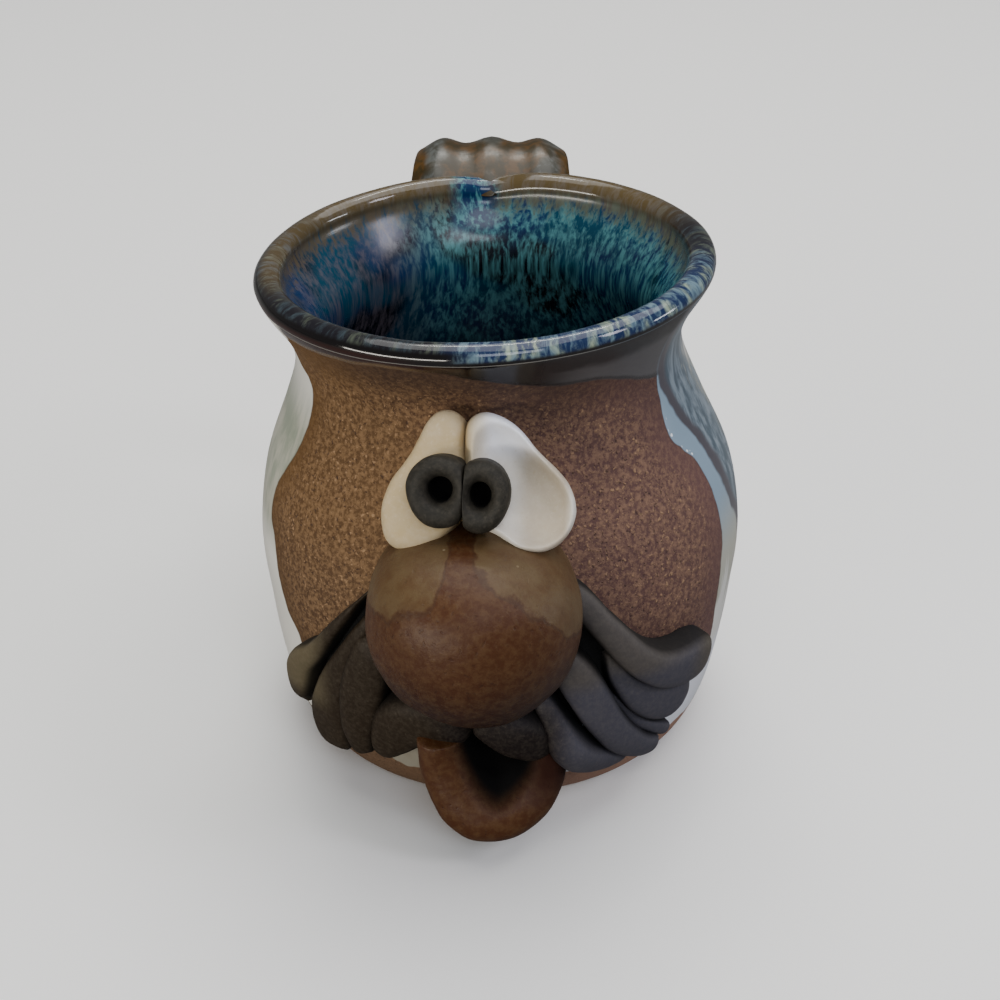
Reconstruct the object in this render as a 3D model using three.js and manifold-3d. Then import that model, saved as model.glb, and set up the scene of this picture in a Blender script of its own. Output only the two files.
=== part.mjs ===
// A stoneware mug with a comic face: a thrown, round-bellied body, a ridged strap handle
// and a face of applied clay, made of two eyes, two irises, a nose, lips and a moustache.
// Millimetres, +Z up. The face looks along -Y, the handle is at +Y, and the origin is the middle of the foot.
import * as THREE from "three";
import { mergeVertices } from "three/addons/utils/BufferGeometryUtils.js";
import Module from "manifold-3d";

const wasm = await Module();
wasm.setup();

// Driving sizes of the body
const WALL_HEIGHTS = [0, 1.6, 4.1, 10.2, 20.3, 32.5, 45.8, 61, 76.3, 87.4, 95, 98.8];
const WALL_RADII = [37.2, 40.2, 42.5, 45.4, 47.5, 49, 50, 47.5, 41.2, 38.2, 41, 43.6];
const WALL_TOP = WALL_HEIGHTS[WALL_HEIGHTS.length - 1];
const WALL_THICKNESS = 5;
const FOOT = { recessRadius: 30, recessDepth: 2.2, ringInner: 31.5, ringOuter: 36.4 };
const RIM = { height: 101.7, rollRadius: 2.8, rollCentre: 42.2 };
const FLOOR = { height: 7, flatRadius: 20, curveTop: 19 };
const BODY_SEGMENTS = 48;
const OUTER_STEPS = 17;

// How far the soft rim leans, and the thumb dent that meets the handle
const LEAN = { from: 51, shift: -3.1, tilt: THREE.MathUtils.degToRad(2.75) };
const DENT = { x: -2.2, width: 4.6, out: 1.6, down: 1.8, from: 92 };

// The clay joint between two pieces that touch
const JOINT = 0.3;

// Colours of the fired clay and glazes
const BARE_CLAY = { color: 0x6e4a35, roughness: 0.85, metalness: 0 };
const GLAZED_CLAY = { color: 0x5c5a58, roughness: 0.35, metalness: 0 };
const BROWN_SLIP = { color: 0x5b3a2b, roughness: 0.6, metalness: 0 };
const WHITE_CLAY = { color: 0xc9c2b8, roughness: 0.6, metalness: 0 };
const CHARCOAL_CLAY = { color: 0x3a3634, roughness: 0.85, metalness: 0 };

// The outside radius of the thrown wall at a height
const wallSpline = new THREE.CubicInterpolant(WALL_HEIGHTS, WALL_RADII, 1);
function wallRadius(height) {
  return wallSpline.evaluate(THREE.MathUtils.clamp(height, 0, WALL_TOP))[0];
}

// The direction square to the wall, at an angle from the front towards +X
function wallNormal(angle, height) {
  const slope = wallRadius(height + 0.5) - wallRadius(height - 0.5);
  return new THREE.Vector3(Math.sin(angle), -Math.cos(angle), -slope).normalize();
}

// The lean of the rim, which grows from the shoulder up
function lean(point) {
  const rise = THREE.MathUtils.smoothstep(point.z, LEAN.from, RIM.height);
  point.z += point.x * Math.tan(LEAN.tilt) * rise;
  point.x += LEAN.shift * rise;
  return point;
}

// A point on the wall, at an angle from the front towards +X
function onWall(angle, height) {
  const radius = wallRadius(height);
  return lean(new THREE.Vector3(radius * Math.sin(angle), -radius * Math.cos(angle), height));
}

// The thumb dent in the rim, over the handle
function dent(point) {
  if (point.y < 0) return point;
  const near = Math.exp(-(((point.x - DENT.x) / DENT.width) ** 2) / 2);
  const push = near * THREE.MathUtils.smoothstep(point.z, DENT.from, RIM.height);
  point.y += DENT.out * push;
  point.z -= DENT.down * push;
  return point;
}

// Moves every vertex of a geometry by a function of its place
function warp(geometry, move) {
  const position = geometry.getAttribute("position");
  const point = new THREE.Vector3();
  for (let i = 0; i < position.count; i += 1) {
    move(point.fromBufferAttribute(position, i));
    position.setXYZ(i, point.x, point.y, point.z);
  }
  return geometry;
}

// A geometry made of points and triangles
function indexed(points, triangles) {
  const geometry = new THREE.BufferGeometry();
  const coordinates = points.flatMap((point) => [point.x, point.y, point.z]);
  geometry.setAttribute("position", new THREE.Float32BufferAttribute(coordinates, 3));
  geometry.setIndex(triangles);
  return geometry;
}

// The middle of a ring of points
function middleOf(ring) {
  return ring.reduce((sum, point) => sum.add(point), new THREE.Vector3()).divideScalar(ring.length);
}

// A closed skin over rings of points, with a fan over the first ring and the last
function loft(rings) {
  const count = rings[0].length;
  const last = rings.length - 1;
  const points = [...rings.flat(), middleOf(rings[0]), middleOf(rings[last])];
  const triangles = [];
  for (let i = 0; i < count; i += 1) {
    const next = (i + 1) % count;
    for (let ring = 0; ring < last; ring += 1) {
      const low = ring * count;
      const high = low + count;
      triangles.push(low + i, low + next, high + next);
      triangles.push(low + i, high + next, high + i);
    }
    triangles.push(points.length - 2, next, i);
    triangles.push(points.length - 1, last * count + i, last * count + next);
  }
  return indexed(points, triangles);
}

// A solid that can be cut, from any closed geometry, with its faces pointing out
function solidOf(geometry) {
  const bare = geometry.clone();
  bare.deleteAttribute("normal");
  bare.deleteAttribute("uv");
  const merged = mergeVertices(bare, 1e-3);
  const index = merged.index.array;
  const triangles = [];
  for (let i = 0; i < index.length; i += 3) {
    const [a, b, c] = [index[i], index[i + 1], index[i + 2]];
    if (a !== b && b !== c && c !== a) triangles.push(a, b, c);
  }
  const vertProperties = merged.getAttribute("position").array;
  const build = (corners) =>
    new wasm.Manifold(new wasm.Mesh({ numProp: 3, vertProperties, triVerts: new Uint32Array(corners) }));
  const made = build(triangles);
  return made.volume() > 0 ? made : build(triangles.reverse());
}

// The geometry of a solid, without the crumbs that a cut can leave beside it
function geometryOf(solid) {
  const parts = solid.decompose();
  const largest = parts.reduce((best, part) => (part.volume() > best.volume() ? part : best));
  const mesh = largest.getMesh();
  const geometry = new THREE.BufferGeometry();
  geometry.setAttribute("position", new THREE.BufferAttribute(mesh.vertProperties, 3));
  geometry.setIndex(new THREE.BufferAttribute(mesh.triVerts, 1));
  return geometry;
}

// Points of an arc in a profile, from one turn to another in even steps
function arc(x, height, radius, fromTurn, toTurn, steps) {
  const points = [];
  for (let i = 0; i <= steps; i += 1) {
    const angle = THREE.MathUtils.degToRad(THREE.MathUtils.lerp(fromTurn, toTurn, i / steps));
    points.push(new THREE.Vector2(x + radius * Math.cos(angle), height + radius * Math.sin(angle)));
  }
  return points;
}

// The outside of the wall from the foot to the roll of the rim, with closer steps near the foot
function outerProfile(spread) {
  const points = [];
  for (let i = 0; i <= OUTER_STEPS; i += 1) {
    const height = WALL_TOP * (i / OUTER_STEPS) ** 1.15;
    points.push(new THREE.Vector2(wallRadius(height) + spread, height));
  }
  return points;
}

// The inside of the body, down the wall and round into the floor
function innerProfile() {
  const points = [98.8, 95, 91, 86, 79, 70, 60, 50, 40, 30].map(
    (height) => new THREE.Vector2(wallRadius(height) - WALL_THICKNESS, height),
  );
  const cornerRadius = wallRadius(FLOOR.curveTop) - WALL_THICKNESS;
  for (const corner of arc(0, 0, 1, 0, 90, 4)) {
    const radius = THREE.MathUtils.lerp(FLOOR.flatRadius, cornerRadius, corner.x);
    points.push(new THREE.Vector2(radius, THREE.MathUtils.lerp(FLOOR.curveTop, FLOOR.height, corner.y)));
  }
  points.push(new THREE.Vector2(0, FLOOR.height));
  return points;
}

// A turned solid of the body's clay, leaned and dented as the body is
function turned(profile) {
  const clay = new THREE.LatheGeometry(profile, BODY_SEGMENTS);
  clay.rotateX(Math.PI / 2);
  return solidOf(warp(warp(clay, lean), dent));
}

// The thrown body with its turned foot ring, hollow belly and rolled lip
function makeBody() {
  const foot = [
    new THREE.Vector2(0, FOOT.recessDepth),
    new THREE.Vector2(FOOT.recessRadius, FOOT.recessDepth),
    new THREE.Vector2(FOOT.ringInner, 0),
    new THREE.Vector2(FOOT.ringOuter, 0),
  ];
  const rim = arc(RIM.rollCentre, RIM.height, RIM.rollRadius, -10, 195, 7);
  return turned([...foot, ...outerProfile(0).slice(1), ...rim, ...innerProfile()]);
}

// The room that the body takes, spread by the clay joint, to cut applied pieces against
function makeBed() {
  const reach = RIM.rollRadius + JOINT;
  const rim = arc(RIM.rollCentre, RIM.height, reach, 0, 90, 3);
  const lid = new THREE.Vector2(0, RIM.height + reach);
  return turned([new THREE.Vector2(0, 0), ...outerProfile(JOINT), ...rim, lid]);
}

// Handle: a pulled strap with three ridges along its outer side, from the rim down to the belly
const HANDLE = {
  path: [
    [-1.9, 40, 93], [-1.9, 45, 99.6], [-1.9, 52, 104], [-1.8, 60, 102.4], [-1.4, 67, 95], [-0.8, 70.8, 83],
    [0, 71.2, 68], [0.6, 69, 54], [1, 63, 41.5], [1, 54, 32], [1, 44, 26],
  ],
  topWidth: 37,
  bottomWidth: 22,
  thickness: 6.8,
  ridge: 1.1,
  edgeRoll: 0.9,
};
const HANDLE_STEPS = 24;
const HANDLE_SIDES = 28;

// A sine that keeps its sign and is made fuller or leaner by a power
function shaped(value, power) {
  return Math.sign(value) * Math.abs(value) ** power;
}

// One section of the strap: a flat oval with ridges on its outer half and rolled edges on its inner half
function strapSection(middle, outward, progress) {
  const width = THREE.MathUtils.lerp(HANDLE.topWidth, HANDLE.bottomWidth, progress ** 0.8);
  const half = HANDLE.thickness / 2;
  const ring = [];
  for (let i = 0; i < HANDLE_SIDES; i += 1) {
    const angle = (i / HANDLE_SIDES) * 2 * Math.PI;
    const across = shaped(Math.cos(angle), 0.8) / 2;
    const side = shaped(Math.sin(angle), 0.7);
    const wave = HANDLE.ridge * Math.cos(6 * Math.PI * across) * (1 - 0.4 * progress);
    const roll = HANDLE.edgeRoll * 2 * Math.abs(across) * (1 - Math.abs(across));
    const depth = side * (half + (side > 0 ? wave : roll));
    const point = middle.clone().addScaledVector(outward, depth);
    point.x += across * width;
    ring.push(point);
  }
  return ring;
}

function makeHandle(bed) {
  const route = new THREE.CatmullRomCurve3(HANDLE.path.map((place) => new THREE.Vector3(...place)));
  const rings = [];
  for (let i = 0; i <= HANDLE_STEPS; i += 1) {
    const progress = i / HANDLE_STEPS;
    const along = route.getTangentAt(progress);
    const outward = new THREE.Vector3(0, -along.z, along.y).normalize();
    rings.push(strapSection(route.getPointAt(progress), outward, progress));
  }
  return solidOf(loft(rings)).subtract(bed);
}

// Nose: a ball of clay pressed on the belly, flattened where the eyes rest on it
const NOSE = { middle: [-4.8, -54.5, 56.2], halfSizes: [19.9, 21, 21.2], flat: 0.24 };

function makeNose(grow) {
  const ball = new THREE.SphereGeometry(1, 28, 18);
  ball.rotateX(Math.PI / 2);
  warp(ball, (point) => {
    if (point.z > 0) point.z -= NOSE.flat * point.z ** 3;
  });
  ball.scale(...NOSE.halfSizes.map((size) => size + grow));
  ball.translate(...NOSE.middle);
  return solidOf(ball);
}

// A flat frame for an eye: its middle, how far it turns to the side and how far it leans back
function eyeFrame(middle, turn, tilt) {
  const side = THREE.MathUtils.degToRad(turn);
  const back = THREE.MathUtils.degToRad(tilt);
  const level = new THREE.Vector3(Math.sin(side), -Math.cos(side), 0);
  const out = level.multiplyScalar(Math.cos(back)).setZ(Math.sin(back));
  const across = new THREE.Vector3(Math.cos(side), Math.sin(side), 0);
  const up = new THREE.Vector3().crossVectors(out, across);
  return new THREE.Matrix4().makeBasis(across, up, out).setPosition(...middle);
}

// Eyes: two pads of white clay, each an outline across and up its own frame.
// Each level gives how far the outline is drawn in and how high it lies: the right eye is dished.
const EYE_TILT = 30;
const EYES = {
  eye_left: {
    frame: eyeFrame([-10, -48, 80], -8, EYE_TILT),
    outline: [
      [0, 13.1], [2.6, 11.2], [3.3, 6], [4, 1], [4.2, -3], [2.9, -7.6], [-1.3, -11.5],
      [-5.8, -13.1], [-9.5, -11.6], [-10.9, -7], [-9.7, -0.8], [-6.4, 4.2], [-4.6, 8.5], [-2.8, 12],
    ],
    middle: [-3, -3],
    levels: [[1, -16], [1, 0], [0.95, 1.6], [0.84, 2.6], [0.66, 2.9], [0.4, 3], [0.12, 3]],
  },
  eye_right: {
    frame: eyeFrame([3, -48.5, 80], 4, EYE_TILT),
    outline: [
      [-5.4, 13], [-2.2, 12.1], [0.7, 9.9], [2.9, 7], [6, 3.5], [8.9, 0], [10.5, -5], [8.6, -10.2],
      [4.2, -12.6], [-0.4, -12], [-4, -9], [-8.2, -6.3], [-9.2, -1], [-9.2, 5], [-8.2, 11.4],
    ],
    middle: [1.5, -3],
    levels: [[1, -16], [1, 0], [0.96, 1.8], [0.88, 2.9], [0.78, 2.9], [0.62, 2], [0.36, 1.7], [0.1, 1.7]],
  },
};
const EYE_SIDES = 28;

function makeEye(eye, grow) {
  const corners = eye.outline.map(([x, y]) => new THREE.Vector3(x, y, 0));
  const edge = new THREE.CatmullRomCurve3(corners, true).getSpacedPoints(EYE_SIDES).slice(0, EYE_SIDES);
  const middle = new THREE.Vector3(...eye.middle, 0);
  const rings = eye.levels.map(([scale, height]) =>
    edge.map((point) => {
      const reach = point.clone().sub(middle);
      const spread = 1 + grow / reach.length();
      const at = middle.clone().addScaledVector(reach, scale * spread);
      at.z = height > 0 ? height + grow : height;
      return at.applyMatrix4(eye.frame);
    }),
  );
  return solidOf(loft(rings));
}

// Irises: two round buttons of dark clay, each poked with a round hole, pressed against each other.
// The contact is the flat where they meet, across from the middle of each. Both droop a little below it.
const IRIS = { radius: 6.1, holeRadius: 2.2, holeDepth: 5.5, rise: 4.6, crown: 2.4, sink: 5, tilt: 24, droop: 1.17 };
const IRISES = {
  iris_left: { middle: [-10.3, -51.2, 80.7], turn: -6, squeeze: 1, contact: 4.1 },
  iris_right: { middle: [-3.3, -52.3, 80.3], turn: -4, squeeze: 0.88, contact: -2.9 },
};
const IRIS_SIDES = 24;

// The profile of a button from its root, over its round crown and down into its hole
function irisProfile(grow) {
  const half = (IRIS.radius - IRIS.holeRadius) / 2;
  const hole = IRIS.holeRadius - grow;
  const crown = arc(0, 0, 1, 0, 165, 6).map(({ x, y }) => {
    const radius = IRIS.holeRadius + half + (half + grow) * x;
    return new THREE.Vector2(radius, IRIS.rise - IRIS.crown + (IRIS.crown + grow) * y);
  });
  return [
    new THREE.Vector2(0, -IRIS.sink),
    new THREE.Vector2(IRIS.radius + grow, -IRIS.sink),
    ...crown,
    new THREE.Vector2(hole, IRIS.rise - 1.5 * IRIS.crown),
    new THREE.Vector2(hole, IRIS.rise - IRIS.holeDepth),
    new THREE.Vector2(0, IRIS.rise - IRIS.holeDepth - 0.5),
  ];
}

function makeIris(iris, grow) {
  const button = new THREE.LatheGeometry(irisProfile(grow), IRIS_SIDES);
  button.rotateX(Math.PI / 2);
  const limit = Math.abs(iris.contact) + grow;
  const side = Math.sign(iris.contact);
  warp(button, (point) => {
    point.x = side * Math.min(side * point.x * iris.squeeze, limit);
    if (point.y < 0) point.y *= IRIS.droop;
  });
  button.applyMatrix4(eyeFrame(iris.middle, iris.turn, IRIS.tilt));
  return solidOf(button);
}

// Lips: a pursed ring of clay, from its root in the belly out to the crest and back into the mouth.
// Each level gives its place across, the half width, the drop below the middle and the rise above it, how
// far it stands from the mug's axis at the bottom and at the sides, and the fullness of its lower outline.
// The top stands out least, because it lies under the moustache, and it falls towards +X.
const LIPS = {
  z: 25,
  top: 51,
  fall: 1.9,
  levels: [
    { x: -1.6, width: 13.8, drop: 18.4, rise: 4.6, front: 38, side: 38, full: 2 },
    { x: -1.6, width: 14.4, drop: 19.6, rise: 5, front: 46, side: 47, full: 2.1 },
    { x: -1.6, width: 14.7, drop: 19.6, rise: 3.6, front: 55, side: 52, full: 2.1 },
    { x: -1.6, width: 14.4, drop: 19.3, rise: 2.8, front: 60, side: 56, full: 2.3 },
    { x: -1.4, width: 12.7, drop: 15.9, rise: 2.2, front: 62.2, side: 58.4, full: 2.1 },
    { x: -0.9, width: 10.3, drop: 12.2, rise: 1.6, front: 60.8, side: 57.4, full: 1.5 },
    { x: -0.5, width: 8.2, drop: 9.8, rise: 1.3, front: 56.5, side: 54.4, full: 1.05 },
    { x: -0.4, width: 7.2, drop: 8.4, rise: 1.2, front: 46, side: 46, full: 1 },
  ],
};
const LIP_SIDES = 30;

// One ring of the lips: a half oval above the middle and a deeper one below it
function lipRing(level) {
  const ring = [];
  for (let i = 0; i < LIP_SIDES; i += 1) {
    const angle = (i / LIP_SIDES) * 2 * Math.PI;
    const below = Math.sin(angle) < 0;
    const power = below ? 2 / level.full : 1;
    const across = shaped(Math.cos(angle), power);
    const up = shaped(Math.sin(angle), power);
    const far = below ? level.front : Math.min(level.side, LIPS.top);
    const reach = THREE.MathUtils.lerp(level.side, far, up * up);
    const fall = LIPS.fall * across * (below ? 1 - up * up : 1);
    const height = up * (below ? level.drop : level.rise) - fall;
    ring.push(new THREE.Vector3(level.x + level.width * across, -reach, LIPS.z + height));
  }
  return ring;
}

function makeLips() {
  return solidOf(loft(LIPS.levels.map(lipRing)));
}

// Moustache: flattened rolls of dark clay laid over the belly and each other.
// Each station gives the angle from the front, the height, the width and the lift of the roll.
const STRANDS = {
  moustache_left_1: [
    [-26, 56.1, 1.7, 4], [-28.8, 53.6, 0.8, 4.6], [-33.4, 48.2, 2.1, 5], [-38.1, 42.5, 3.5, 5.4],
    [-42.9, 36.9, 4.5, 5.8], [-46.7, 33.7, 6, 5.8], [-50.3, 28.1, 7.5, 5.6], [-52.4, 22.6, 6.3, 5],
    [-51.9, 18.8, 2.8, 4],
  ],
  moustache_left_2: [
    [-26.3, 51.2, 2.6, 3.5], [-28.5, 47.7, 2.9, 4], [-32, 42.4, 4.4, 4.6], [-36.1, 35.1, 6.3, 5],
    [-39.6, 27.6, 8.4, 5.2], [-42, 20.4, 10.8, 5.2], [-42.1, 14.8, 10.2, 4.8], [-41.5, 10.8, 6.9, 3.8],
  ],
  moustache_left_3: [
    [-25.6, 47.1, 6.6, 4.6], [-27.5, 41.6, 8.8, 5.6], [-29.2, 35.3, 10.2, 6.2], [-31.1, 28.5, 9.6, 6.4],
    [-32.7, 21.7, 8.1, 6], [-32.8, 16.5, 6.3, 5.2], [-31.7, 14.4, 3.4, 4],
  ],
  moustache_left_4: [
    [-4.6, 32.6, 9.7, 8], [-10.3, 31.4, 11.7, 8.4], [-15.7, 30.2, 13.2, 8], [-20.2, 27.8, 13.1, 7.4],
    [-23.3, 23.8, 10.9, 6.6], [-26.3, 19.1, 6.9, 5.6], [-28.3, 15.4, 2.9, 4.2],
  ],
  moustache_right_1: [
    [12.9, 59.1, 5.6, 5], [16.3, 55.5, 5.6, 6], [19.9, 51.2, 5.7, 6.6], [24, 46.3, 6.4, 6.8],
    [28.5, 41.6, 6.9, 7], [33.5, 37.7, 8.4, 7], [38.9, 35.3, 10.3, 6.8], [44.6, 34.2, 11.2, 6.4],
    [49.6, 33.8, 8.8, 5.6], [53, 33, 3.6, 4.2],
  ],
  moustache_right_2: [
    [23.3, 41.9, 2.6, 3], [25.2, 38.3, 4.3, 3.8], [27.2, 35, 5.1, 4.4], [31.8, 30.3, 8.4, 4.8],
    [37.2, 26.9, 9.8, 4.8], [41.6, 25.4, 10.8, 4.6], [45.3, 26.2, 8.1, 4], [49, 27.3, 4.7, 3],
  ],
  moustache_right_3: [
    [11, 46, 5.6, 5], [13.7, 42.7, 7.3, 6], [16.8, 37.9, 8.6, 6.6], [19.6, 32.8, 8.2, 6.8],
    [23, 26.9, 8, 6.8], [27.6, 21.3, 7.4, 6.4], [32.8, 17.1, 6.4, 5.6], [37.8, 15, 4.6, 4.6],
    [41.4, 14.2, 1.7, 3.4],
  ],
  moustache_right_4: [
    [8, 37, 4, 4.5], [9.7, 33.3, 5, 6], [11.5, 29.2, 6.1, 7.4], [13.7, 24.9, 7.4, 8.2],
    [17.3, 20.7, 7.8, 7.8], [22.2, 17.5, 6.1, 6.2], [27.7, 15.4, 3.9, 4.6], [33.1, 14.3, 1.9, 3],
  ],
  moustache_right_5: [
    [-4.9, 33.9, 8.9, 8], [-1.5, 32.2, 9.8, 9], [1.9, 29.9, 10.7, 9.4], [4.9, 27.6, 10.9, 9],
    [7.3, 24.8, 8, 8], [9.3, 21.9, 3.7, 6],
  ],
  moustache_right_6: [
    [24.8, 32, 1.1, 2.6], [28.3, 27.6, 2, 3], [32.1, 23.2, 2.6, 3.4], [36.9, 19.5, 3, 3.6],
    [41.7, 16.7, 3.4, 3.4], [44.2, 15.5, 2.5, 3],
  ],
};
const STRAND_STEPS = 13;
const STRAND_SIDES = 12;
const STRAND_ROOT = 3.4;

// How full a strand is along its length: thin at both ends and whole from a twelfth of it in
function fullness(progress) {
  const fromEnd = Math.min(1, 14 * progress * (1 - progress));
  return Math.max(0.45, Math.sqrt(1 - (1 - fromEnd) ** 2));
}

// One section of a strand: a flattened oval that bulges outwards and has a shallow root in the wall
function strandSection(middle, along, width, lift) {
  const out = wallNormal(Math.atan2(middle.x, -middle.y), middle.z);
  const across = new THREE.Vector3().crossVectors(along, out).normalize();
  const ring = [];
  for (let i = 0; i < STRAND_SIDES; i += 1) {
    const turn = (i / STRAND_SIDES) * 2 * Math.PI;
    const bulge = Math.sin(turn) > 0 ? 0.7 * lift : STRAND_ROOT;
    const point = middle.clone().addScaledVector(across, (width / 2) * shaped(Math.cos(turn), 0.85));
    ring.push(point.addScaledVector(out, 0.3 * lift + bulge * shaped(Math.sin(turn), 0.7)));
  }
  return ring;
}

function makeStrand(stations, grow) {
  const path = new THREE.CatmullRomCurve3(
    stations.map(([angle, height]) => onWall(THREE.MathUtils.degToRad(angle), height)),
  );
  const sizes = new THREE.CatmullRomCurve3(
    stations.map(([, , width, lift]) => new THREE.Vector3(width, lift, 0)),
  );
  const rings = [];
  for (let i = 0; i <= STRAND_STEPS; i += 1) {
    const even = i / STRAND_STEPS;
    const closeAtEnds = (1 - Math.cos(even * Math.PI)) / 2;
    const progress = THREE.MathUtils.lerp(closeAtEnds, even, 0.35);
    const full = fullness(closeAtEnds);
    const size = sizes.getPoint(progress);
    const width = size.x * full + 2 * grow;
    const lift = size.y * THREE.MathUtils.lerp(0.45, 1, full) + grow;
    rings.push(strandSection(path.getPoint(progress), path.getTangent(progress), width, lift));
  }
  return solidOf(loft(rings));
}

// The face's pieces in the order in which they lie over each other, the outermost first
const OUTERMOST_FIRST = [
  "iris_left", "iris_right", "eye_left", "eye_right", "nose",
  "moustache_right_1", "moustache_right_5", "moustache_right_3", "moustache_left_4", "moustache_left_3",
  "moustache_left_1", "moustache_left_2", "moustache_right_4", "moustache_right_2", "moustache_right_6",
  "lips",
];

function makeFacePiece(name, grow) {
  if (name in IRISES) return makeIris(IRISES[name], grow);
  if (name in EYES) return makeEye(EYES[name], grow);
  if (name in STRANDS) return makeStrand(STRANDS[name], grow);
  return name === "nose" ? makeNose(grow) : makeLips();
}

// Lays each piece of the face against the body and under the pieces pressed on over it
function makeFace(bed) {
  let room = bed;
  const face = {};
  for (const name of OUTERMOST_FIRST) {
    face[name] = makeFacePiece(name, 0).subtract(room);
    room = room.add(makeFacePiece(name, JOINT));
  }
  return face;
}

function finishOf(name) {
  if (name in EYES) return WHITE_CLAY;
  if (name in IRISES || name in STRANDS) return CHARCOAL_CLAY;
  if (name === "body") return BARE_CLAY;
  return name === "handle" ? GLAZED_CLAY : BROWN_SLIP;
}

const bed = makeBed();
const pieces = { body: makeBody(), handle: makeHandle(bed), ...makeFace(bed) };

const mug = new THREE.Group();
mug.name = "face_mug";
for (const [name, solid] of Object.entries(pieces)) {
  const mesh = new THREE.Mesh(geometryOf(solid), new THREE.MeshStandardMaterial(finishOf(name)));
  mesh.name = name;
  mug.add(mesh);
}

export default mug;
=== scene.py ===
import math
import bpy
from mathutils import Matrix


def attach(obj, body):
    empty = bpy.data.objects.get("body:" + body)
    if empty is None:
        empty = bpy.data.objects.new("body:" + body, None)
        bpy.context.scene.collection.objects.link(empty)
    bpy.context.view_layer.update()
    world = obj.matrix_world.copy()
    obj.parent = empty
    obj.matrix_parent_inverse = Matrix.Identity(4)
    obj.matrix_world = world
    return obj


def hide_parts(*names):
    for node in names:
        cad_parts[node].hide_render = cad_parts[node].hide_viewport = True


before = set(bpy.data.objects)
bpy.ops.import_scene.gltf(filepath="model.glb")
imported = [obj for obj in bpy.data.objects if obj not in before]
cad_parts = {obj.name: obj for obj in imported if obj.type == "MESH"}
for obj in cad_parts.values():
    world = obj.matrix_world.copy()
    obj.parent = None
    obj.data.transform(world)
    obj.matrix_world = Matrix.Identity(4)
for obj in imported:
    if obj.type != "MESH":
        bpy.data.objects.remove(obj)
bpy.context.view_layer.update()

from types import SimpleNamespace

import bmesh
import bpy
from mathutils import Matrix, Vector

# Camera: it stands before the face and looks down on it, so that the inside of the mug shows.
# The point it looks at is on the mug's axis.
LOOK_AT_HEIGHT = 0.04784
CAMERA_DISTANCE = 0.37174
CAMERA_ELEVATION = math.radians(30.6)
CAMERA_LENS = 63.47


def around(azimuth, elevation, distance):
    """A place seen from the mug, with its azimuth counted from the front towards +X, in radians."""
    level = distance * math.cos(elevation)
    return Vector((level * math.sin(azimuth), -level * math.cos(azimuth), distance * math.sin(elevation)))


bpy.ops.object.camera_add(
    location=around(0, CAMERA_ELEVATION, CAMERA_DISTANCE) + Vector((0, 0, LOOK_AT_HEIGHT)),
    rotation=(math.pi / 2 - CAMERA_ELEVATION, 0, 0),
)
camera = bpy.context.object
camera.name = "camera"
camera.data.lens = CAMERA_LENS
bpy.context.scene.camera = camera

# Body: the thrown stoneware wall with its floor, turned foot ring and rolled lip, one piece of clay.
# Its face is left bare in a window of groggy brown clay; the inside and the lip have a blue glaze that
# runs, and the sides and back have a pale one.
WALL = [
    (0.0, 0.0372), (0.0016, 0.0402), (0.0041, 0.0425), (0.0102, 0.0454), (0.0203, 0.0475), (0.0325, 0.049),
    (0.0458, 0.05), (0.061, 0.0475), (0.0763, 0.0412), (0.0874, 0.0382), (0.095, 0.041), (0.0988, 0.0436),
]
WALL_TOP = WALL[-1][0]
WALL_THICKNESS = 0.005
WALL_STEPS = 26
# Above 1, so that the wall's rings lie closer low down
RING_SPREAD = 1.15
FOOT_RINGS = [
    (0.003, 0.0022), (0.015, 0.0022), (0.0285, 0.0022), (0.0303, 0.0018), (0.0313, 0.0003),
    (0.0318, 0.0), (0.0352, 0.0), (0.0362, 0.0001), (0.0371, 0.0005),
]
RIM_ROLL_HEIGHT = 0.1017
RIM_ROLL_RADIUS = 0.0028
RIM_ROLL_CENTRE = 0.0422
RIM_STEPS = 12
RIM_ARC = (-10, 195)
INSIDE_HEIGHTS = [
    0.0988, 0.0955, 0.092, 0.089, 0.086, 0.082, 0.077, 0.071, 0.065,
    0.058, 0.051, 0.044, 0.037, 0.03, 0.024,
]
FLOOR_HEIGHT = 0.007
FLOOR_FLAT_RADIUS = 0.02
FLOOR_CURVE_TOP = 0.019
FLOOR_STEPS = 5
LEAN_FROM = 0.051
LEAN_SHIFT = -0.0031
LEAN_TILT = math.radians(2.75)
DENT_X = -0.0022
DENT_WIDTH = 0.0046
DENT_OUT = 0.0016
DENT_DOWN = 0.0018
DENT_FROM = 0.092
BODY_SIDES = 80
UNEVEN_CLAY = 0.0006


def smooth_step(value, low, high):
    """0 below low, 1 above high and a soft rise between them."""
    part = min(1.0, max(0.0, (value - low) / (high - low)))
    return part * part * (3 - 2 * part)


def mix(low, high, part):
    return low + (high - low) * part


def wall_radius(height):
    """The outside radius of the thrown wall, a smooth curve through the sizes in WALL."""
    height = min(WALL_TOP, max(0.0, height))
    index = max(i for i in range(len(WALL) - 1) if WALL[i][0] <= height)
    steps = [(b[1] - a[1]) / (b[0] - a[0]) for a, b in zip(WALL, WALL[1:])]
    start = steps[0] if index == 0 else (steps[index - 1] + steps[index]) / 2
    end = steps[-1] if index == len(steps) - 1 else (steps[index] + steps[index + 1]) / 2
    (low, low_radius), (high, high_radius) = WALL[index], WALL[index + 1]
    span = high - low
    t = (height - low) / span
    return (
        low_radius * (1 + 2 * t) * (1 - t) ** 2 + span * start * t * (1 - t) ** 2
        + high_radius * t * t * (3 - 2 * t) - span * end * t * t * (1 - t)
    )


def lean(point):
    """The soft rim leans to one side, more and more from the shoulder up."""
    share = smooth_step(point.z, LEAN_FROM, RIM_ROLL_HEIGHT)
    return Vector((point.x + LEAN_SHIFT * share, point.y, point.z + point.x * math.tan(LEAN_TILT) * share))


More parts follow.
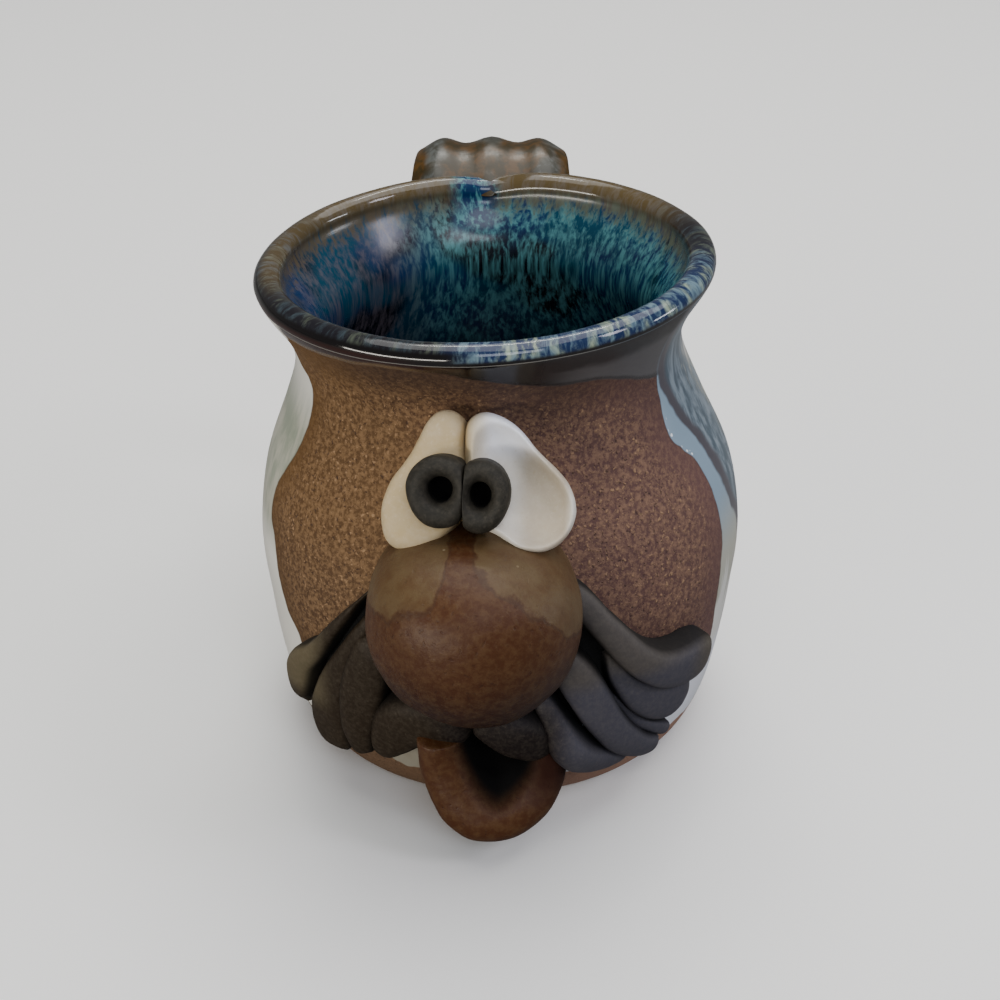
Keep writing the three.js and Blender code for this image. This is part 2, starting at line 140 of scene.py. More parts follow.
def dent(point):
    """A thumb dent in the rim, over the handle."""
    if point.y < 0:
        return point
    near = math.exp(-(((point.x - DENT_X) / DENT_WIDTH) ** 2) / 2)
    push = near * smooth_step(point.z, DENT_FROM, RIM_ROLL_HEIGHT)
    return point + Vector((0, DENT_OUT * push, -DENT_DOWN * push))


def stand(point):
    """Nothing goes under the surface that the mug stands on."""
    return Vector((point.x, point.y, max(0.0, point.z)))


def turns(sides):
    """The angles of a section's points, once round."""
    return [2 * math.pi * i / sides for i in range(sides)]


def round_section(radius, height, sides):
    return [Vector((radius * math.sin(turn), -radius * math.cos(turn), height)) for turn in turns(sides)]


def arc(start, end, steps):
    """Cosines and sines of a part of a circle, in even steps."""
    angles = [math.radians(mix(start, end, i / steps)) for i in range(steps + 1)]
    return [(math.cos(angle), math.sin(angle)) for angle in angles]


def body_rings():
    """Radius, height and place over the lip of each ring, from the underside over the lip to the floor."""
    rings = [(radius, height, 0.0) for radius, height in FOOT_RINGS]
    for i in range(1, WALL_STEPS + 1):
        height = WALL_TOP * (i / WALL_STEPS) ** RING_SPREAD
        rings.append((wall_radius(height), height, 0.0))
    for i, (out, up) in enumerate(arc(*RIM_ARC, RIM_STEPS)):
        height = RIM_ROLL_HEIGHT + RIM_ROLL_RADIUS * up
        rings.append((RIM_ROLL_CENTRE + RIM_ROLL_RADIUS * out, height, i / RIM_STEPS))
    rings += [(wall_radius(height) - WALL_THICKNESS, height, 1.0) for height in INSIDE_HEIGHTS]
    corner_radius = wall_radius(FLOOR_CURVE_TOP) - WALL_THICKNESS
    for out, down in arc(0, 90, FLOOR_STEPS):
        height = mix(FLOOR_CURVE_TOP, FLOOR_HEIGHT, down)
        rings.append((mix(FLOOR_FLAT_RADIUS, corner_radius, out), height, 1.0))
    rings += [(FLOOR_FLAT_RADIUS * part, FLOOR_HEIGHT, 1.0) for part in (0.6, 0.3, 0.1)]
    return rings


def draw_out(name, sections, marks=None):
    """Make a closed piece: a ring of points extruded from section to section, both ends gathered in.

    marks gives each section a number, or a list of them for its points, kept as the attribute "mark".
    """
    bpy.ops.object.select_all(action="DESELECT")
    bpy.ops.mesh.primitive_circle_add(vertices=len(sections[0]))
    piece = bpy.context.object
    piece.name = name
    piece.data.name = name
    bpy.ops.object.mode_set(mode="EDIT")
    mesh = bmesh.from_edit_mesh(piece.data)
    mesh.verts.layers.int.new("order")
    mesh.verts.layers.float.new("mark")
    for index, vert in enumerate(list(mesh.verts)):
        vert[mesh.verts.layers.int["order"]] = index
    for number, section in enumerate(sections):
        if number:
            bpy.ops.mesh.extrude_region_move()
            mesh = bmesh.from_edit_mesh(piece.data)
        order = mesh.verts.layers.int["order"]
        mark = mesh.verts.layers.float["mark"]
        for vert in mesh.verts:
            if vert.select:
                vert.co = section[vert[order]]
                given = marks[number] if marks else 0.0
                vert[mark] = given[vert[order]] if isinstance(given, list) else given
        bmesh.update_edit_mesh(piece.data)
    bpy.ops.mesh.extrude_region_move()
    bpy.ops.mesh.merge(type="CENTER")
    bpy.ops.mesh.select_all(action="DESELECT")
    bpy.ops.mesh.select_non_manifold()
    bpy.ops.mesh.extrude_region_move()
    bpy.ops.mesh.merge(type="CENTER")
    bpy.ops.mesh.select_all(action="SELECT")
    bpy.ops.mesh.normals_make_consistent(inside=False)
    bpy.ops.object.mode_set(mode="OBJECT")
    return piece


def soften(piece, levels, uneven, grain=0.012):
    """Round a piece off by subdivision, and give it the slight unevenness of clay worked by hand."""
    smoother = piece.modifiers.new("round", "SUBSURF")
    smoother.levels = levels
    smoother.render_levels = levels
    bpy.ops.object.modifier_apply(modifier=smoother.name)
    clouds = bpy.data.textures.new(piece.name + " clay", "CLOUDS")
    clouds.noise_scale = grain
    push = piece.modifiers.new("uneven", "DISPLACE")
    push.texture = clouds
    push.texture_coords = "LOCAL"
    push.strength = uneven
    push.mid_level = 0.5
    bpy.ops.object.modifier_apply(modifier=push.name)
    bpy.ops.object.shade_smooth()


def bend(piece, *moves):
    """Move each point of a piece by functions of its place, and keep where it was as "upright"."""
    upright = piece.data.attributes.new("upright", "FLOAT_VECTOR", "POINT")
    for vert in piece.data.vertices:
        upright.data[vert.index].vector = vert.co
        point = vert.co.copy()
        for move in moves:
            point = move(point)
        vert.co = point
    piece.data.update()


rings = body_rings()
body = draw_out(
    "body_clay",
    [round_section(radius, height, BODY_SIDES) for radius, height, _ in rings],
    [over for _, _, over in rings],
)
soften(body, 2, UNEVEN_CLAY, 0.03)
bend(body, stand, lean, dent)


def tone(code):
    """A colour from its six-digit code, as light."""
    parts = [int(code[i:i + 2], 16) / 255 for i in (0, 2, 4)]
    return tuple(p / 12.92 if p <= 0.04045 else ((p + 0.055) / 1.055) ** 2.4 for p in parts) + (1.0,)


class Value:
    """A number, place or colour that a node works out. A sum written with it adds the node for that sum."""

    def __init__(self, tree, socket):
        self.tree = tree
        self.socket = socket

    def other(self, output):
        """Another output of the same node."""
        return Value(self.tree, self.socket.node.outputs[output])

    def __add__(self, number):
        return reckon("ADD", self, number)

    def __sub__(self, number):
        return reckon("SUBTRACT", self, number)

    def __rsub__(self, number):
        return reckon("SUBTRACT", number, self)

    def __mul__(self, number):
        return reckon("MULTIPLY", self, number)

    def __truediv__(self, number):
        return reckon("DIVIDE", self, number)

    def __rtruediv__(self, number):
        return reckon("DIVIDE", number, self)

    def __abs__(self):
        return reckon("ABSOLUTE", self)


def feed(node, inputs):
    """Set a node's sockets to plain values, or join them to what other nodes work out."""
    for socket, value in inputs.items():
        if isinstance(value, Value):
            value.tree.links.new(value.socket, node.inputs[socket])
        else:
            node.inputs[socket].default_value = value


def put(tree, kind, output, inputs=None, **settings):
    """Add a node to a tree and give one of its outputs."""
    node = tree.nodes.new("ShaderNode" + kind)
    for name, value in settings.items():
        setattr(node, name, value)
    feed(node, inputs or {})
    return Value(tree, node.outputs[output])


def work(kind, output, inputs, **settings):
    """Add a node to the tree that its inputs come from."""
    tree = next(value.tree for value in inputs.values() if isinstance(value, Value))
    return put(tree, kind, output, inputs, **settings)


def reckon(operation, *values):
    """The result of a Math node."""
    return work("Math", 0, dict(enumerate(values)), operation=operation)


def larger(one, two):
    return reckon("MAXIMUM", one, two)


def over_colour(below, above, amount):
    """One colour laid over another by an amount from 0 to 1."""
    return work("Mix", 2, {0: amount, 6: below, 7: above}, data_type="RGBA")


def between(below, above, amount):
    """One number blended into another by an amount from 0 to 1."""
    return work("Mix", 0, {0: amount, 2: below, 3: above})


def rise(value, low, high):
    """0 where the value is below low, 1 above high, soft between; falls where low is above high."""
    inputs = {0: value, 1: min(low, high), 2: max(low, high)}
    soft = work("MapRange", 0, inputs, interpolation_type="SMOOTHSTEP")
    return 1 - soft if low > high else soft


def own_place(tree):
    """A point's place on its own piece."""
    return put(tree, "TexCoord", "Object")


def own_mark(tree):
    """The number that draw_out kept for a point."""
    return put(tree, "Attribute", "Fac", attribute_name="mark")


def split(place):
    """The x, y and height of a place."""
    x = work("SeparateXYZ", 0, {0: place})
    return x, x.other(1), x.other(2)


def noise(place, size, detail, rough=0.55, twist=0.0):
    """Soft noise whose light and dark spots are about a size apart, as a number from 0 to 1."""
    inputs = {"Vector": place, "Scale": 1 / size, "Detail": detail, "Roughness": rough, "Distortion": twist}
    return work("TexNoise", 0, inputs)


def share_of(value, span):
    return (value - span[0]) / (span[1] - span[0])


def along_curve(value, points, x_span, y_span):
    """A number read off a drawn curve through points, in the spans given as (lowest, highest)."""
    part = work("MapRange", 0, {0: value, 1: x_span[0], 2: x_span[1]})
    read = work("FloatCurve", 0, {1: part})
    mapping = read.socket.node.mapping
    places = [(share_of(x, x_span), share_of(y, y_span)) for x, y in points]
    mapping.curves[0].points[0].location = places[0]
    mapping.curves[0].points[1].location = places[-1]
    for x, y in places[1:-1]:
        mapping.curves[0].points.new(x, y)
    mapping.update()
    return work("MapRange", 0, {0: read, 3: y_span[0], 4: y_span[1]})


def outputs_of(tree, node):
    return {socket.name: Value(tree, socket) for socket in node.outputs}


def new_group(name, inputs, outputs):
    """A shader node group with named sockets. inputs maps a name to its first value."""
    group = bpy.data.node_groups.new(name, "ShaderNodeTree")
    for socket, value in inputs.items():
        kind = "Color" if isinstance(value, tuple) else "Float"
        made = group.interface.new_socket(name=socket, in_out="INPUT", socket_type="NodeSocket" + kind)
        made.default_value = value
    for socket, kind in outputs.items():
        group.interface.new_socket(name=socket, in_out="OUTPUT", socket_type="NodeSocket" + kind)
    given = outputs_of(group, group.nodes.new("NodeGroupInput"))
    return group, given, group.nodes.new("NodeGroupOutput")


def place_group(tree, group, **inputs):
    """Put a node group into a material, with this material's own values."""
    node = tree.nodes.new("ShaderNodeGroup")
    node.node_tree = group
    feed(node, {name.replace("_", " "): value for name, value in inputs.items()})
    return outputs_of(tree, node)


def new_material(name):
    """A material and its tree and main shader."""
    material = bpy.data.materials.new(name)
    material.use_nodes = True
    return material, material.node_tree, material.node_tree.nodes["Principled BSDF"]


def dress(shader, colour, gloss, height):
    """Give a shader its colour, its roughness and a height in millimetres."""
    bump = work("Bump", 0, {"Strength": 1, "Distance": 0.001, "Height": height})
    feed(shader, {"Base Color": colour, "Roughness": gloss, "Normal": bump})


def make_clay_grain():
    """Fired clay: a mottled ground with light grog, dark pits and a rough height in millimetres."""
    group, given, result = new_group(
        "fired clay grain",
        {"Colour": tone("6e4a35"), "Grog Colour": tone("a07a52"), "Pit Colour": tone("2c1c14"),
         "Grain Size": 0.0009, "Grog": 1.0, "Pits": 1.0, "Mottle": 0.5, "Roughness": 0.1},
        {"Colour": "Color", "Height": "Float"},
    )
    clay, grog_tone, pit_tone = given["Colour"], given["Grog Colour"], given["Pit Colour"]
    place = own_place(group)
    scale = 1 / given["Grain Size"]
    crumble = work("TexNoise", 1, {"Vector": place, "Scale": scale * 0.8, "Detail": 2})
    away = work("VectorMath", 0, {0: crumble, 1: (0.5, 0.5, 0.5)}, operation="SUBTRACT")
    away = work("VectorMath", 0, {0: away, 3: given["Grain Size"] * 1.6}, operation="SCALE")
    crumbled = work("VectorMath", 0, {0: place, 1: away}, operation="ADD")

    def dots(stretch, shift, share):
        """Round grains in some of the cells, the fewer the higher the share."""
        moved = work("Mapping", 0, {"Vector": crumbled, "Location": (shift, shift, shift)})
        inputs = {"Vector": moved, "Scale": scale * stretch, "Randomness": 1}
        cells = work("TexVoronoi", "Distance", inputs)
        chance = work("SeparateColor", 0, {0: cells.other("Color")})
        return rise(cells, 0.36, 0.14) * rise(chance, share, share + 0.12)

    fine = noise(place, given["Grain Size"], 4, 0.7)
    grog = dots(0.9, 0, 0.45) * rise(noise(place, 0.011, 3), 0.3, 0.62)
    grog = larger(grog, dots(1.7, 0.3, 0.5) * 0.6) * given["Grog"]
    pits = dots(1.2, 0.7, 0.62) * given["Pits"]
    dark = over_colour(clay, pit_tone, 0.5)
    light = over_colour(clay, grog_tone, 0.5)
    mottled = over_colour(dark, light, rise(fine, 0.38, 0.66))
    ground = over_colour(clay, mottled, given["Mottle"])
    speckled = over_colour(ground, grog_tone, grog)
    height = (fine + grog - pits) * given["Roughness"]
    feed(result, {"Colour": over_colour(speckled, pit_tone, pits), "Height": height})
    return group


def make_glaze_flow():
    """Runny glaze: feathered streaks that run down, and the slower clouds that they gather in."""
    group, given, result = new_group(
        "glaze flow",
        {"Streak Width": 0.0016, "Streak Length": 0.009, "Cloud Size": 0.014, "Seed": 0.0},
        {"Streaks": "Float", "Clouds": "Float"},
    )
    place = own_place(group)
    squash = given["Streak Width"] / given["Streak Length"]
    squeeze = work("CombineXYZ", 0, {0: 1, 1: 1, 2: squash})
    drawn = work("VectorMath", 0, {0: place, 1: squeeze}, operation="MULTIPLY")
    seed = work("CombineXYZ", 0, dict.fromkeys(range(3), given["Seed"]))
    drawn = work("VectorMath", 0, {0: drawn, 1: seed}, operation="ADD")
    cloud = work("VectorMath", 0, {0: place, 1: seed}, operation="ADD")
    streaks = noise(drawn, given["Streak Width"], 3.5, 0.62, 0.35)
    feed(result, {"Streaks": streaks, "Clouds": noise(cloud, given["Cloud Size"], 2, 0.5)})
    return group


CLAY_GRAIN = make_clay_grain()
GLAZE_FLOW = make_glaze_flow()


def flowing(tree, width, length, cloud, seed):
    """The streaks and the clouds of a runny glaze, by the sizes of both."""
    sizes = {"Streak_Width": width, "Streak_Length": length, "Cloud_Size": cloud}
    made = place_group(tree, GLAZE_FLOW, **sizes, Seed=seed)
    return made["Streaks"], made["Clouds"]


# The edges of the bare window: the height and the angle from the front of its two sides, in metres and
# degrees, and the angle and height of the blue glaze's lower edge under the lip
WINDOW_LEFT = [
    (0.0, 54), (0.0315, 55.6), (0.0369, 59.9), (0.0442, 62.6), (0.0517, 65.9), (0.0558, 69), (0.0606, 68.7),
    (0.066, 65.7), (0.074, 61.8), (0.0819, 60), (0.0866, 62.4), (0.0885, 68), (0.092, 70), (0.0955, 66),
    (0.098, 58), (0.105, 56),
]
WINDOW_RIGHT = [
    (0.0, 62), (0.0302, 63.5), (0.0393, 61.8), (0.0468, 62.3), (0.0526, 63.8), (0.0582, 63.8), (0.0637, 63.2),
    (0.0679, 62), (0.0722, 57.9), (0.0773, 54.6), (0.0825, 55.8), (0.0859, 56.6), (0.092, 57), (0.105, 57),
]
GLAZE_EDGE = [
    (-180, 0.099), (-60, 0.0985), (-42, 0.0989), (-24, 0.0995), (-10, 0.0992), (-3, 0.0977), (4, 0.0964),
    (14, 0.0942), (29, 0.0926), (40, 0.0902), (56, 0.0864), (75, 0.084), (180, 0.099),
]
MUG_HEIGHT = (0, 0.105)
ALL_ROUND = (-180, 180)
WINDOW_FOOT = 0.024
BARE_FOOT = 0.0104
CREAM_LINE_AT = -0.0003
# About how many degrees round the belly a metre is
DEGREES_TO_METRE = 1200

CLAY_LIT_GOLD = tone("5c3e13")
CLAY_ROSE = tone("61423e")
CLAY_GROG = tone("b08c66")
CLAY_PIT = tone("351f15")
CLAY_SHADE_AND_STAIN = tone("2e1b13")
FOOT_LEFT = tone("5e4632")
FOOT_RIGHT = tone("a9836f")
PALE_GLAZE = tone("b6b5a5")
LIT_CREAM_GLAZE = tone("f2f0ea")
GREEN_GLAZE = tone("8e9684")
LOW_GLAZE = tone("f4f7ff")
LOW_GREY = tone("8d887a")
BEAD_BLUE = tone("869cae")
BEAD_GLINT = tone("f4f6fa")
SLATE_GLAZE = tone("435460")
SLATE_PALE = tone("7f8d98")
BREAK_BROWN = tone("48454c")
EDGE_BAND = tone("535152")
EDGE_BLACK = tone("0e0b0c")
EDGE_RED = tone("260c06")
CREAM_LINE = tone("7c684e")
LIP_VIOLET = tone("17161c")
LIP_NAVY = tone("192a4c")
LIP_MOTTLE = tone("738d98")
LIP_CREAM = tone("a0ae93")
LIP_OLIVE = tone("53462c")
LIP_GREY = tone("5c5347")
INSIDE_NAVY = tone("010815")
INSIDE_BLUE = tone("082c52")
INSIDE_TEAL = tone("063c52")
INSIDE_JADE = tone("5d9c9f")
INSIDE_LILAC = tone("645c63")
SHADE_BLACK = tone("0c0a09")
# How many cells of painted glints on the blue bead there are to a metre
BEAD_GLINT_CELLS = 700
# Painted shade in the gaps of the moustache: the angle from the front and the height of its upper edge, under
# which the clay is drawn black
MOUSTACHE_LINE = [
    (-60, 0.02), (-50, 0.029), (-45, 0.0345), (-38, 0.042), (-33, 0.048), (-27, 0.0545), (0, 0.06),
    (13, 0.058), (20, 0.05), (28, 0.041), (33, 0.037), (39, 0.034), (46, 0.032), (60, 0.02),
]
# Where the pale glaze breaks to brown on the right side: height and angle
BREAK_LINE = [
    (0.0, 88), (0.05, 79), (0.0556, 74.5), (0.06, 72.5), (0.0658, 71.1), (0.0696, 69.4), (0.0742, 65.1),
    (0.0788, 61.8), (0.0838, 60), (0.088, 59.5), (0.105, 59.5),
]


def body_places(tree):
    """Where a point of the body is: its place, its angle from the front, and how far over the lip it is."""
    x, y, height = split(put(tree, "Attribute", "Vector", attribute_name="upright"))
    angle = reckon("DEGREES", reckon("ARCTAN2", x, y * -1))
    place = own_place(tree)
    over = own_mark(tree)
    return SimpleNamespace(tree=tree, place=place, x=x, y=y, height=height, angle=angle, over=over)


def edge_distances(at):
    """How far a point is inside the window's left, right and upper edges, which wander."""
    at.wander = noise(at.place, 0.008, 3) - 0.5
    left = along_curve(at.height, WINDOW_LEFT, MUG_HEIGHT, (50, 80))
    right = along_curve(at.height, WINDOW_RIGHT, MUG_HEIGHT, (50, 80))
    edge = along_curve(at.angle, GLAZE_EDGE, ALL_ROUND, (0.08, 0.1))
    at.from_left = at.angle + left + at.wander * 2
    at.from_right = right - at.angle - at.wander * 2
    at.from_edge = edge - at.height + at.wander * 0.0014
    at.near_side = reckon("MINIMUM", at.from_left, at.from_right)


def bare_clay(at):
    """The colour and height of the bare clay: golden on the left, where painted warm light falls, and rosy on
    the right; with painted shade low down on the left and a painted shadow under the lip.
    """
    # Painted warm light: the clay is drawn golden on the sunlit left side and rosy on the right.
    sunny = rise(at.angle, 30, -38) + at.wander * 0.5
    clay = over_colour(CLAY_ROSE, CLAY_LIT_GOLD, rise(sunny, 0, 1))
    # Painted shadow: the clay just under the lip is drawn darker in the middle, where the lip shades it.
    middle = rise(at.angle, -52, -22) * between(1, 0.45, rise(at.angle, 18, 42))
    clay = over_colour(clay, CLAY_SHADE_AND_STAIN, rise(at.from_edge, 0.018, 0) * middle * 0.85)
    # Painted shade: the clay low down on the left is drawn darker.
    shade_low_left = rise(at.angle, -12, -42) * rise(at.height, 0.068, 0.045)
    clay = over_colour(clay, CLAY_SHADE_AND_STAIN, shade_low_left * 0.35)
    open_clay = rise(at.from_edge, 0.001, 0.012) * rise(at.from_left, 0.5, 9) * rise(at.from_right, 1, 14)
    specks = between(0.1, 0.65, open_clay)
    grain = place_group(
        at.tree, CLAY_GRAIN, Colour=clay, Grog_Colour=CLAY_GROG, Pit_Colour=CLAY_PIT, Grain_Size=0.001,
        Grog=specks, Pits=specks, Mottle=between(0.2, 0.65, open_clay), Roughness=0.2,
    )
    stained = over_colour(CLAY_SHADE_AND_STAIN, grain["Colour"], rise(at.near_side, -0.3, 0.7))
    foot_tone = over_colour(FOOT_LEFT, FOOT_RIGHT, rise(at.angle, -8, 20) * rise(at.angle, 165, 75))
    stained = over_colour(stained, foot_tone, rise(at.height, 0.0135, 0.0115) * 0.8)
    return stained, grain["Height"]


def pale_glaze(at):
    """The glaze round the bare clay: green on the left with cream painted light high and low, slate with a
    blue bead and painted glints on the right.
    """
    streaks, clouds = flowing(at.tree, 0.0022, 0.022, 0.02, 3)
    pale = over_colour(GREEN_GLAZE, PALE_GLAZE, rise(between(clouds, streaks, 0.45), 0.4, 0.58))
    # Painted light: the pale glaze is drawn cream where light falls on it high and low, less so at the back.
    lit = larger(rise(at.height, 0.074, 0.088), rise(at.height, 0.056, 0.046))
    at_back = rise(abs(at.angle), 84, 112)
    pale = over_colour(pale, LIT_CREAM_GLAZE, lit * between(0.85, 0.2, at_back))

    line = along_curve(at.height, BREAK_LINE, MUG_HEIGHT, (50, 90))
    past_line = at.angle + at.wander * 4 - line
    feather = streaks - 0.5
    slate = over_colour(SLATE_PALE, SLATE_GLAZE, rise(streaks, 0.36, 0.62))
    slate = over_colour(slate, pale, rise(past_line + feather * 50, 18, 36))
    bead = over_colour(PALE_GLAZE, BEAD_BLUE, rise(at.height, 0.045, 0.062))
    right = over_colour(bead, BREAK_BROWN, rise(past_line, -2.6, -1.2))
    right = over_colour(right, slate, rise(past_line, 1, 4))
    # Painted highlights: small white glints along the blue bead at the window's right edge.
    cells = work("TexVoronoi", "Distance", {"Vector": at.place, "Scale": BEAD_GLINT_CELLS, "Randomness": 0.6})
    dots = rise(cells, 0.32, 0.22) * rise(at.from_right, -1.5, -1.1) * rise(at.from_right, -0.1, -0.5)
    dots = dots * rise(at.height, 0.066, 0.068) * rise(at.height, 0.08, 0.077)
    right = over_colour(right, BEAD_GLINT, dots)
    on_right = rise(at.angle, 20, 40) * rise(at.height + feather * 0.04, 0.033, 0.044)
    pale = over_colour(pale, right, on_right)

    low = over_colour(FOOT_LEFT, LOW_GREY, rise(clouds, 0.46, 0.6))
    low = over_colour(low, LOW_GLAZE, rise(at.angle, 14, 20))
    # Painted shade: the low glaze behind the lips is drawn black and left dull.
    behind_lips = rise(at.angle, -20, -17) * rise(at.angle, 14, 11)
    low = over_colour(low, SHADE_BLACK, behind_lips)
    at.behind_lips = behind_lips * rise(at.height, 0.034, 0.028)
    front = rise(at.height, 0.028, 0.022) * rise(at.angle, -60, -40)
    return over_colour(pale, low, front * rise(at.angle, 90, 70))


def lip_glaze(at):
    """The colour of the lip: violet-black, mottled pale on navy in front, olive at the back."""
    around_lip = reckon("RADIANS", at.angle) * RIM_ROLL_CENTRE
    flat = work("CombineXYZ", 0, {0: around_lip, 1: at.over * 0.0036, 2: 0.5})
    drawn = noise(flat, 0.0016, 4, 0.65, 0.8)
    front = rise(at.angle, -14, 0) * rise(at.angle, 92, 66)
    back = rise(abs(at.angle), 96, 130)
    lip = over_colour(LIP_VIOLET, LIP_NAVY, front)
    brown = over_colour(LIP_OLIVE, LIP_GREY, rise(drawn, 0.4, 0.66))
    left_side = rise(at.angle, -58, -84) * rise(at.over, 0.2, 0.5)
    lip = over_colour(lip, brown, larger(back, left_side * 0.8))
    pale = over_colour(LIP_MOTTLE, LIP_CREAM, rise(noise(flat, 0.004, 2), 0.46, 0.62))
    shown = between(0.16, 0.85, front) * between(1, 0.12, back)
    lip = over_colour(lip, pale, rise(drawn, 0.42, 0.68) * shown)
    ahead = rise(abs(at.angle), 110, 84)
    left_low = rise(at.over, 0.3, 0.2) * rise(at.angle, 0, -10)
    lip = over_colour(lip, EDGE_BLACK, larger(left_low, rise(at.over, 0.12, 0.04)) * ahead)
    return over_colour(lip, EDGE_RED, rise(at.over, 0.14, 0.06) * rise(at.angle, -10, -30) * ahead)


def band_glaze(at):
    """The band under the lip: red-black on the left over a cream line, and grey-brown on the right."""
    thick = rise(at.height - WALL_TOP + at.wander * 0.004, -0.0036, -0.001)
    dark = larger(rise(at.angle, 32, 8), thick * 0.8)
    band = over_colour(EDGE_BAND, EDGE_BLACK, dark)
    band = over_colour(band, EDGE_RED, rise(at.angle, 0, -12))
    line = rise(abs(at.from_edge - CREAM_LINE_AT), 0.0009, 0)
    line_tone = over_colour(EDGE_BLACK, CREAM_LINE, rise(at.angle, -8, -20))
    return over_colour(band, line_tone, line * 0.6)


def inside_glaze(at):
    """The inside: fine streaks of jade and slate that run down over navy, black at the bottom."""
    fine_streaks, fine_clouds = flowing(at.tree, 0.001, 0.018, 0.012, 1)
    broad_streaks, broad_clouds = flowing(at.tree, 0.0022, 0.022, 0.02, 4)
    deep = rise(at.height, 0.082, 0.052)
    ground = over_colour(INSIDE_BLUE, INSIDE_TEAL, rise(fine_clouds, 0.4, 0.6))
    ground = over_colour(ground, INSIDE_NAVY, larger(deep, rise(broad_clouds, 0.46, 0.34)))
    left_side = rise(at.angle, 0, -20) * rise(at.angle, -168, -140)
    streak_tone = over_colour(INSIDE_JADE, INSIDE_LILAC, left_side)
    share = rise(between(broad_streaks, fine_streaks, 0.6), 0.41, 0.64)
    hollow = over_colour(ground, streak_tone, share * rise(deep, 1, 0) * between(0.85, 0.6, left_side))
    top_band = rise(at.height + (fine_streaks - 0.5) * 0.014, 0.0965, 0.1015)
    return over_colour(hollow, LIP_OLIVE, top_band * 0.8)


def make_body_finish():
    material, tree, shader = new_material("stoneware with running glaze")
    at = body_places(tree)
    edge_distances(at)
    outside = rise(at.over, 0.02, 0)
    inside = rise(at.over, 0.8, 1)
    sides = rise(at.from_left, -0.3, 0.4) * rise(at.from_right, -0.3, 0.4)
    from_low = at.height + at.wander * 0.005 - WINDOW_FOOT
    window = sides * rise(at.from_edge, -0.0012, -0.0004) * rise(from_low, 0, 0.0006) * outside
    foot = rise(at.height + at.wander * 0.006, BARE_FOOT + 0.0005, BARE_FOOT) * outside
    bare = larger(window, foot)
    above = rise(at.from_edge, 0.0003, -0.0003) * rise(at.from_right, -3, 1) * rise(at.from_left, -3, 1)
    above = above * outside
    off_spout = at.x + 0.003 + at.wander * 0.008
    spout = rise(abs(off_spout), 0.0068, 0.0016) * rise(at.y, 0, 0.01) * rise(at.over, 0.28, 0.5)
    # Painted shade: the bare clay that shows in the deep gaps under the moustache is drawn black.
    line = along_curve(at.angle, MOUSTACHE_LINE, ALL_ROUND, (0, 0.07))
    gap_shade = rise(line - at.height, 0, 0.001) * rise(from_low, -0.004, -0.002) * window

    clay, clay_height = bare_clay(at)
    streaks, _ = flowing(tree, 0.0012, 0.006, 0.01, 7)
    over_back = over_colour(INSIDE_BLUE, INSIDE_JADE, rise(streaks, 0.45, 0.66) * 0.7)
    colour = over_colour(pale_glaze(at), clay, bare)
    colour = over_colour(colour, SHADE_BLACK, gap_shade)
    colour = over_colour(colour, band_glaze(at), above)
    colour = over_colour(lip_glaze(at), colour, outside)
    colour = over_colour(colour, inside_glaze(at), inside)
    colour = over_colour(colour, over_back, spout * rise(at.height, 0.092, 0.0965))

    gloss = between(0.3, 0.78, bare)
    gloss = between(gloss, between(0.16, 0.45, rise(at.angle, 6, 26)), above)
    gloss = between(0.1, gloss, outside)
    gloss = between(gloss, 0.24, inside)
    gloss = between(gloss, 1, larger(gap_shade, at.behind_lips))

    # Height in millimetres: grog in the bare clay, a bead of glaze at its edge, and slow ripples in glaze
    to_edge = reckon("MINIMUM", at.near_side, at.from_edge * DEGREES_TO_METRE)
    glazed = 1 - rise(to_edge, -0.6, 0.8)
    ripple = noise(at.place, 0.006, 2) * 0.06
    dress(shader, colour, gloss, between(ripple + glazed * 0.06, clay_height, bare))
    return material


body.data.materials.append(make_body_finish())
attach(body, "root")
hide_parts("body")

# Handle: a pulled strap of the same clay with three ridges down its back, pressed on under the rim and
# low on the belly. It is glazed slate-grey on the ridges, and the glaze breaks to rust between them.
HANDLE_PATH = [
    (-0.0019, 0.04, 0.093), (-0.0019, 0.045, 0.0996), (-0.0019, 0.052, 0.104), (-0.0018, 0.06, 0.1024),
    (-0.0014, 0.067, 0.095), (-0.0008, 0.0708, 0.083), (0, 0.0712, 0.068), (0.0006, 0.069, 0.054),
    (0.001, 0.063, 0.0415), (0.001, 0.054, 0.032), (0.001, 0.044, 0.026),
]
HANDLE_TOP_WIDTH = 0.037
HANDLE_BOTTOM_WIDTH = 0.022
HANDLE_THICKNESS = 0.0068
HANDLE_RIDGE = 0.0011
HANDLE_EDGE_ROLL = 0.0009
HANDLE_SECTIONS = 40
HANDLE_SIDES = 44
HANDLE_GLAZE_WIDTH = 0.036
RIDGE_WAVE = 6 * math.pi
CURVE_STEPS = 400
BED_STEPS = 30
ROOT_DEPTH = 0.0012


def through(points, place):
    """A smooth curve through points, at a place from 0 to 1 along it."""
    span = min(len(points) - 2, int(place * (len(points) - 1)))
    t = place * (len(points) - 1) - span
    one, two = points[span], points[span + 1]
    before = points[span - 1] if span else one * 2 - two
    after = points[span + 2] if span + 2 < len(points) else two * 2 - one
    gaps = [math.sqrt((b - a).length) or 1.0 for a, b in ((before, one), (one, two), (two, after))]
    start = (one - before) / gaps[0] - (two - before) / (gaps[0] + gaps[1]) + (two - one) / gaps[1]
    end = (two - one) / gaps[1] - (after - one) / (gaps[1] + gaps[2]) + (after - two) / gaps[2]
    start, end = start * gaps[1], end * gaps[1]
    square = two * 3 - one * 3 - start * 2 - end
    cube = one * 2 - two * 2 + start + end
    return one + start * t + square * t ** 2 + cube * t ** 3


def direction(points, place):
    """The way that the curve through points runs, at a place from 0 to 1."""
    step = 0.002
    return (through(points, min(1.0, place + step)) - through(points, max(0.0, place - step))).normalized()


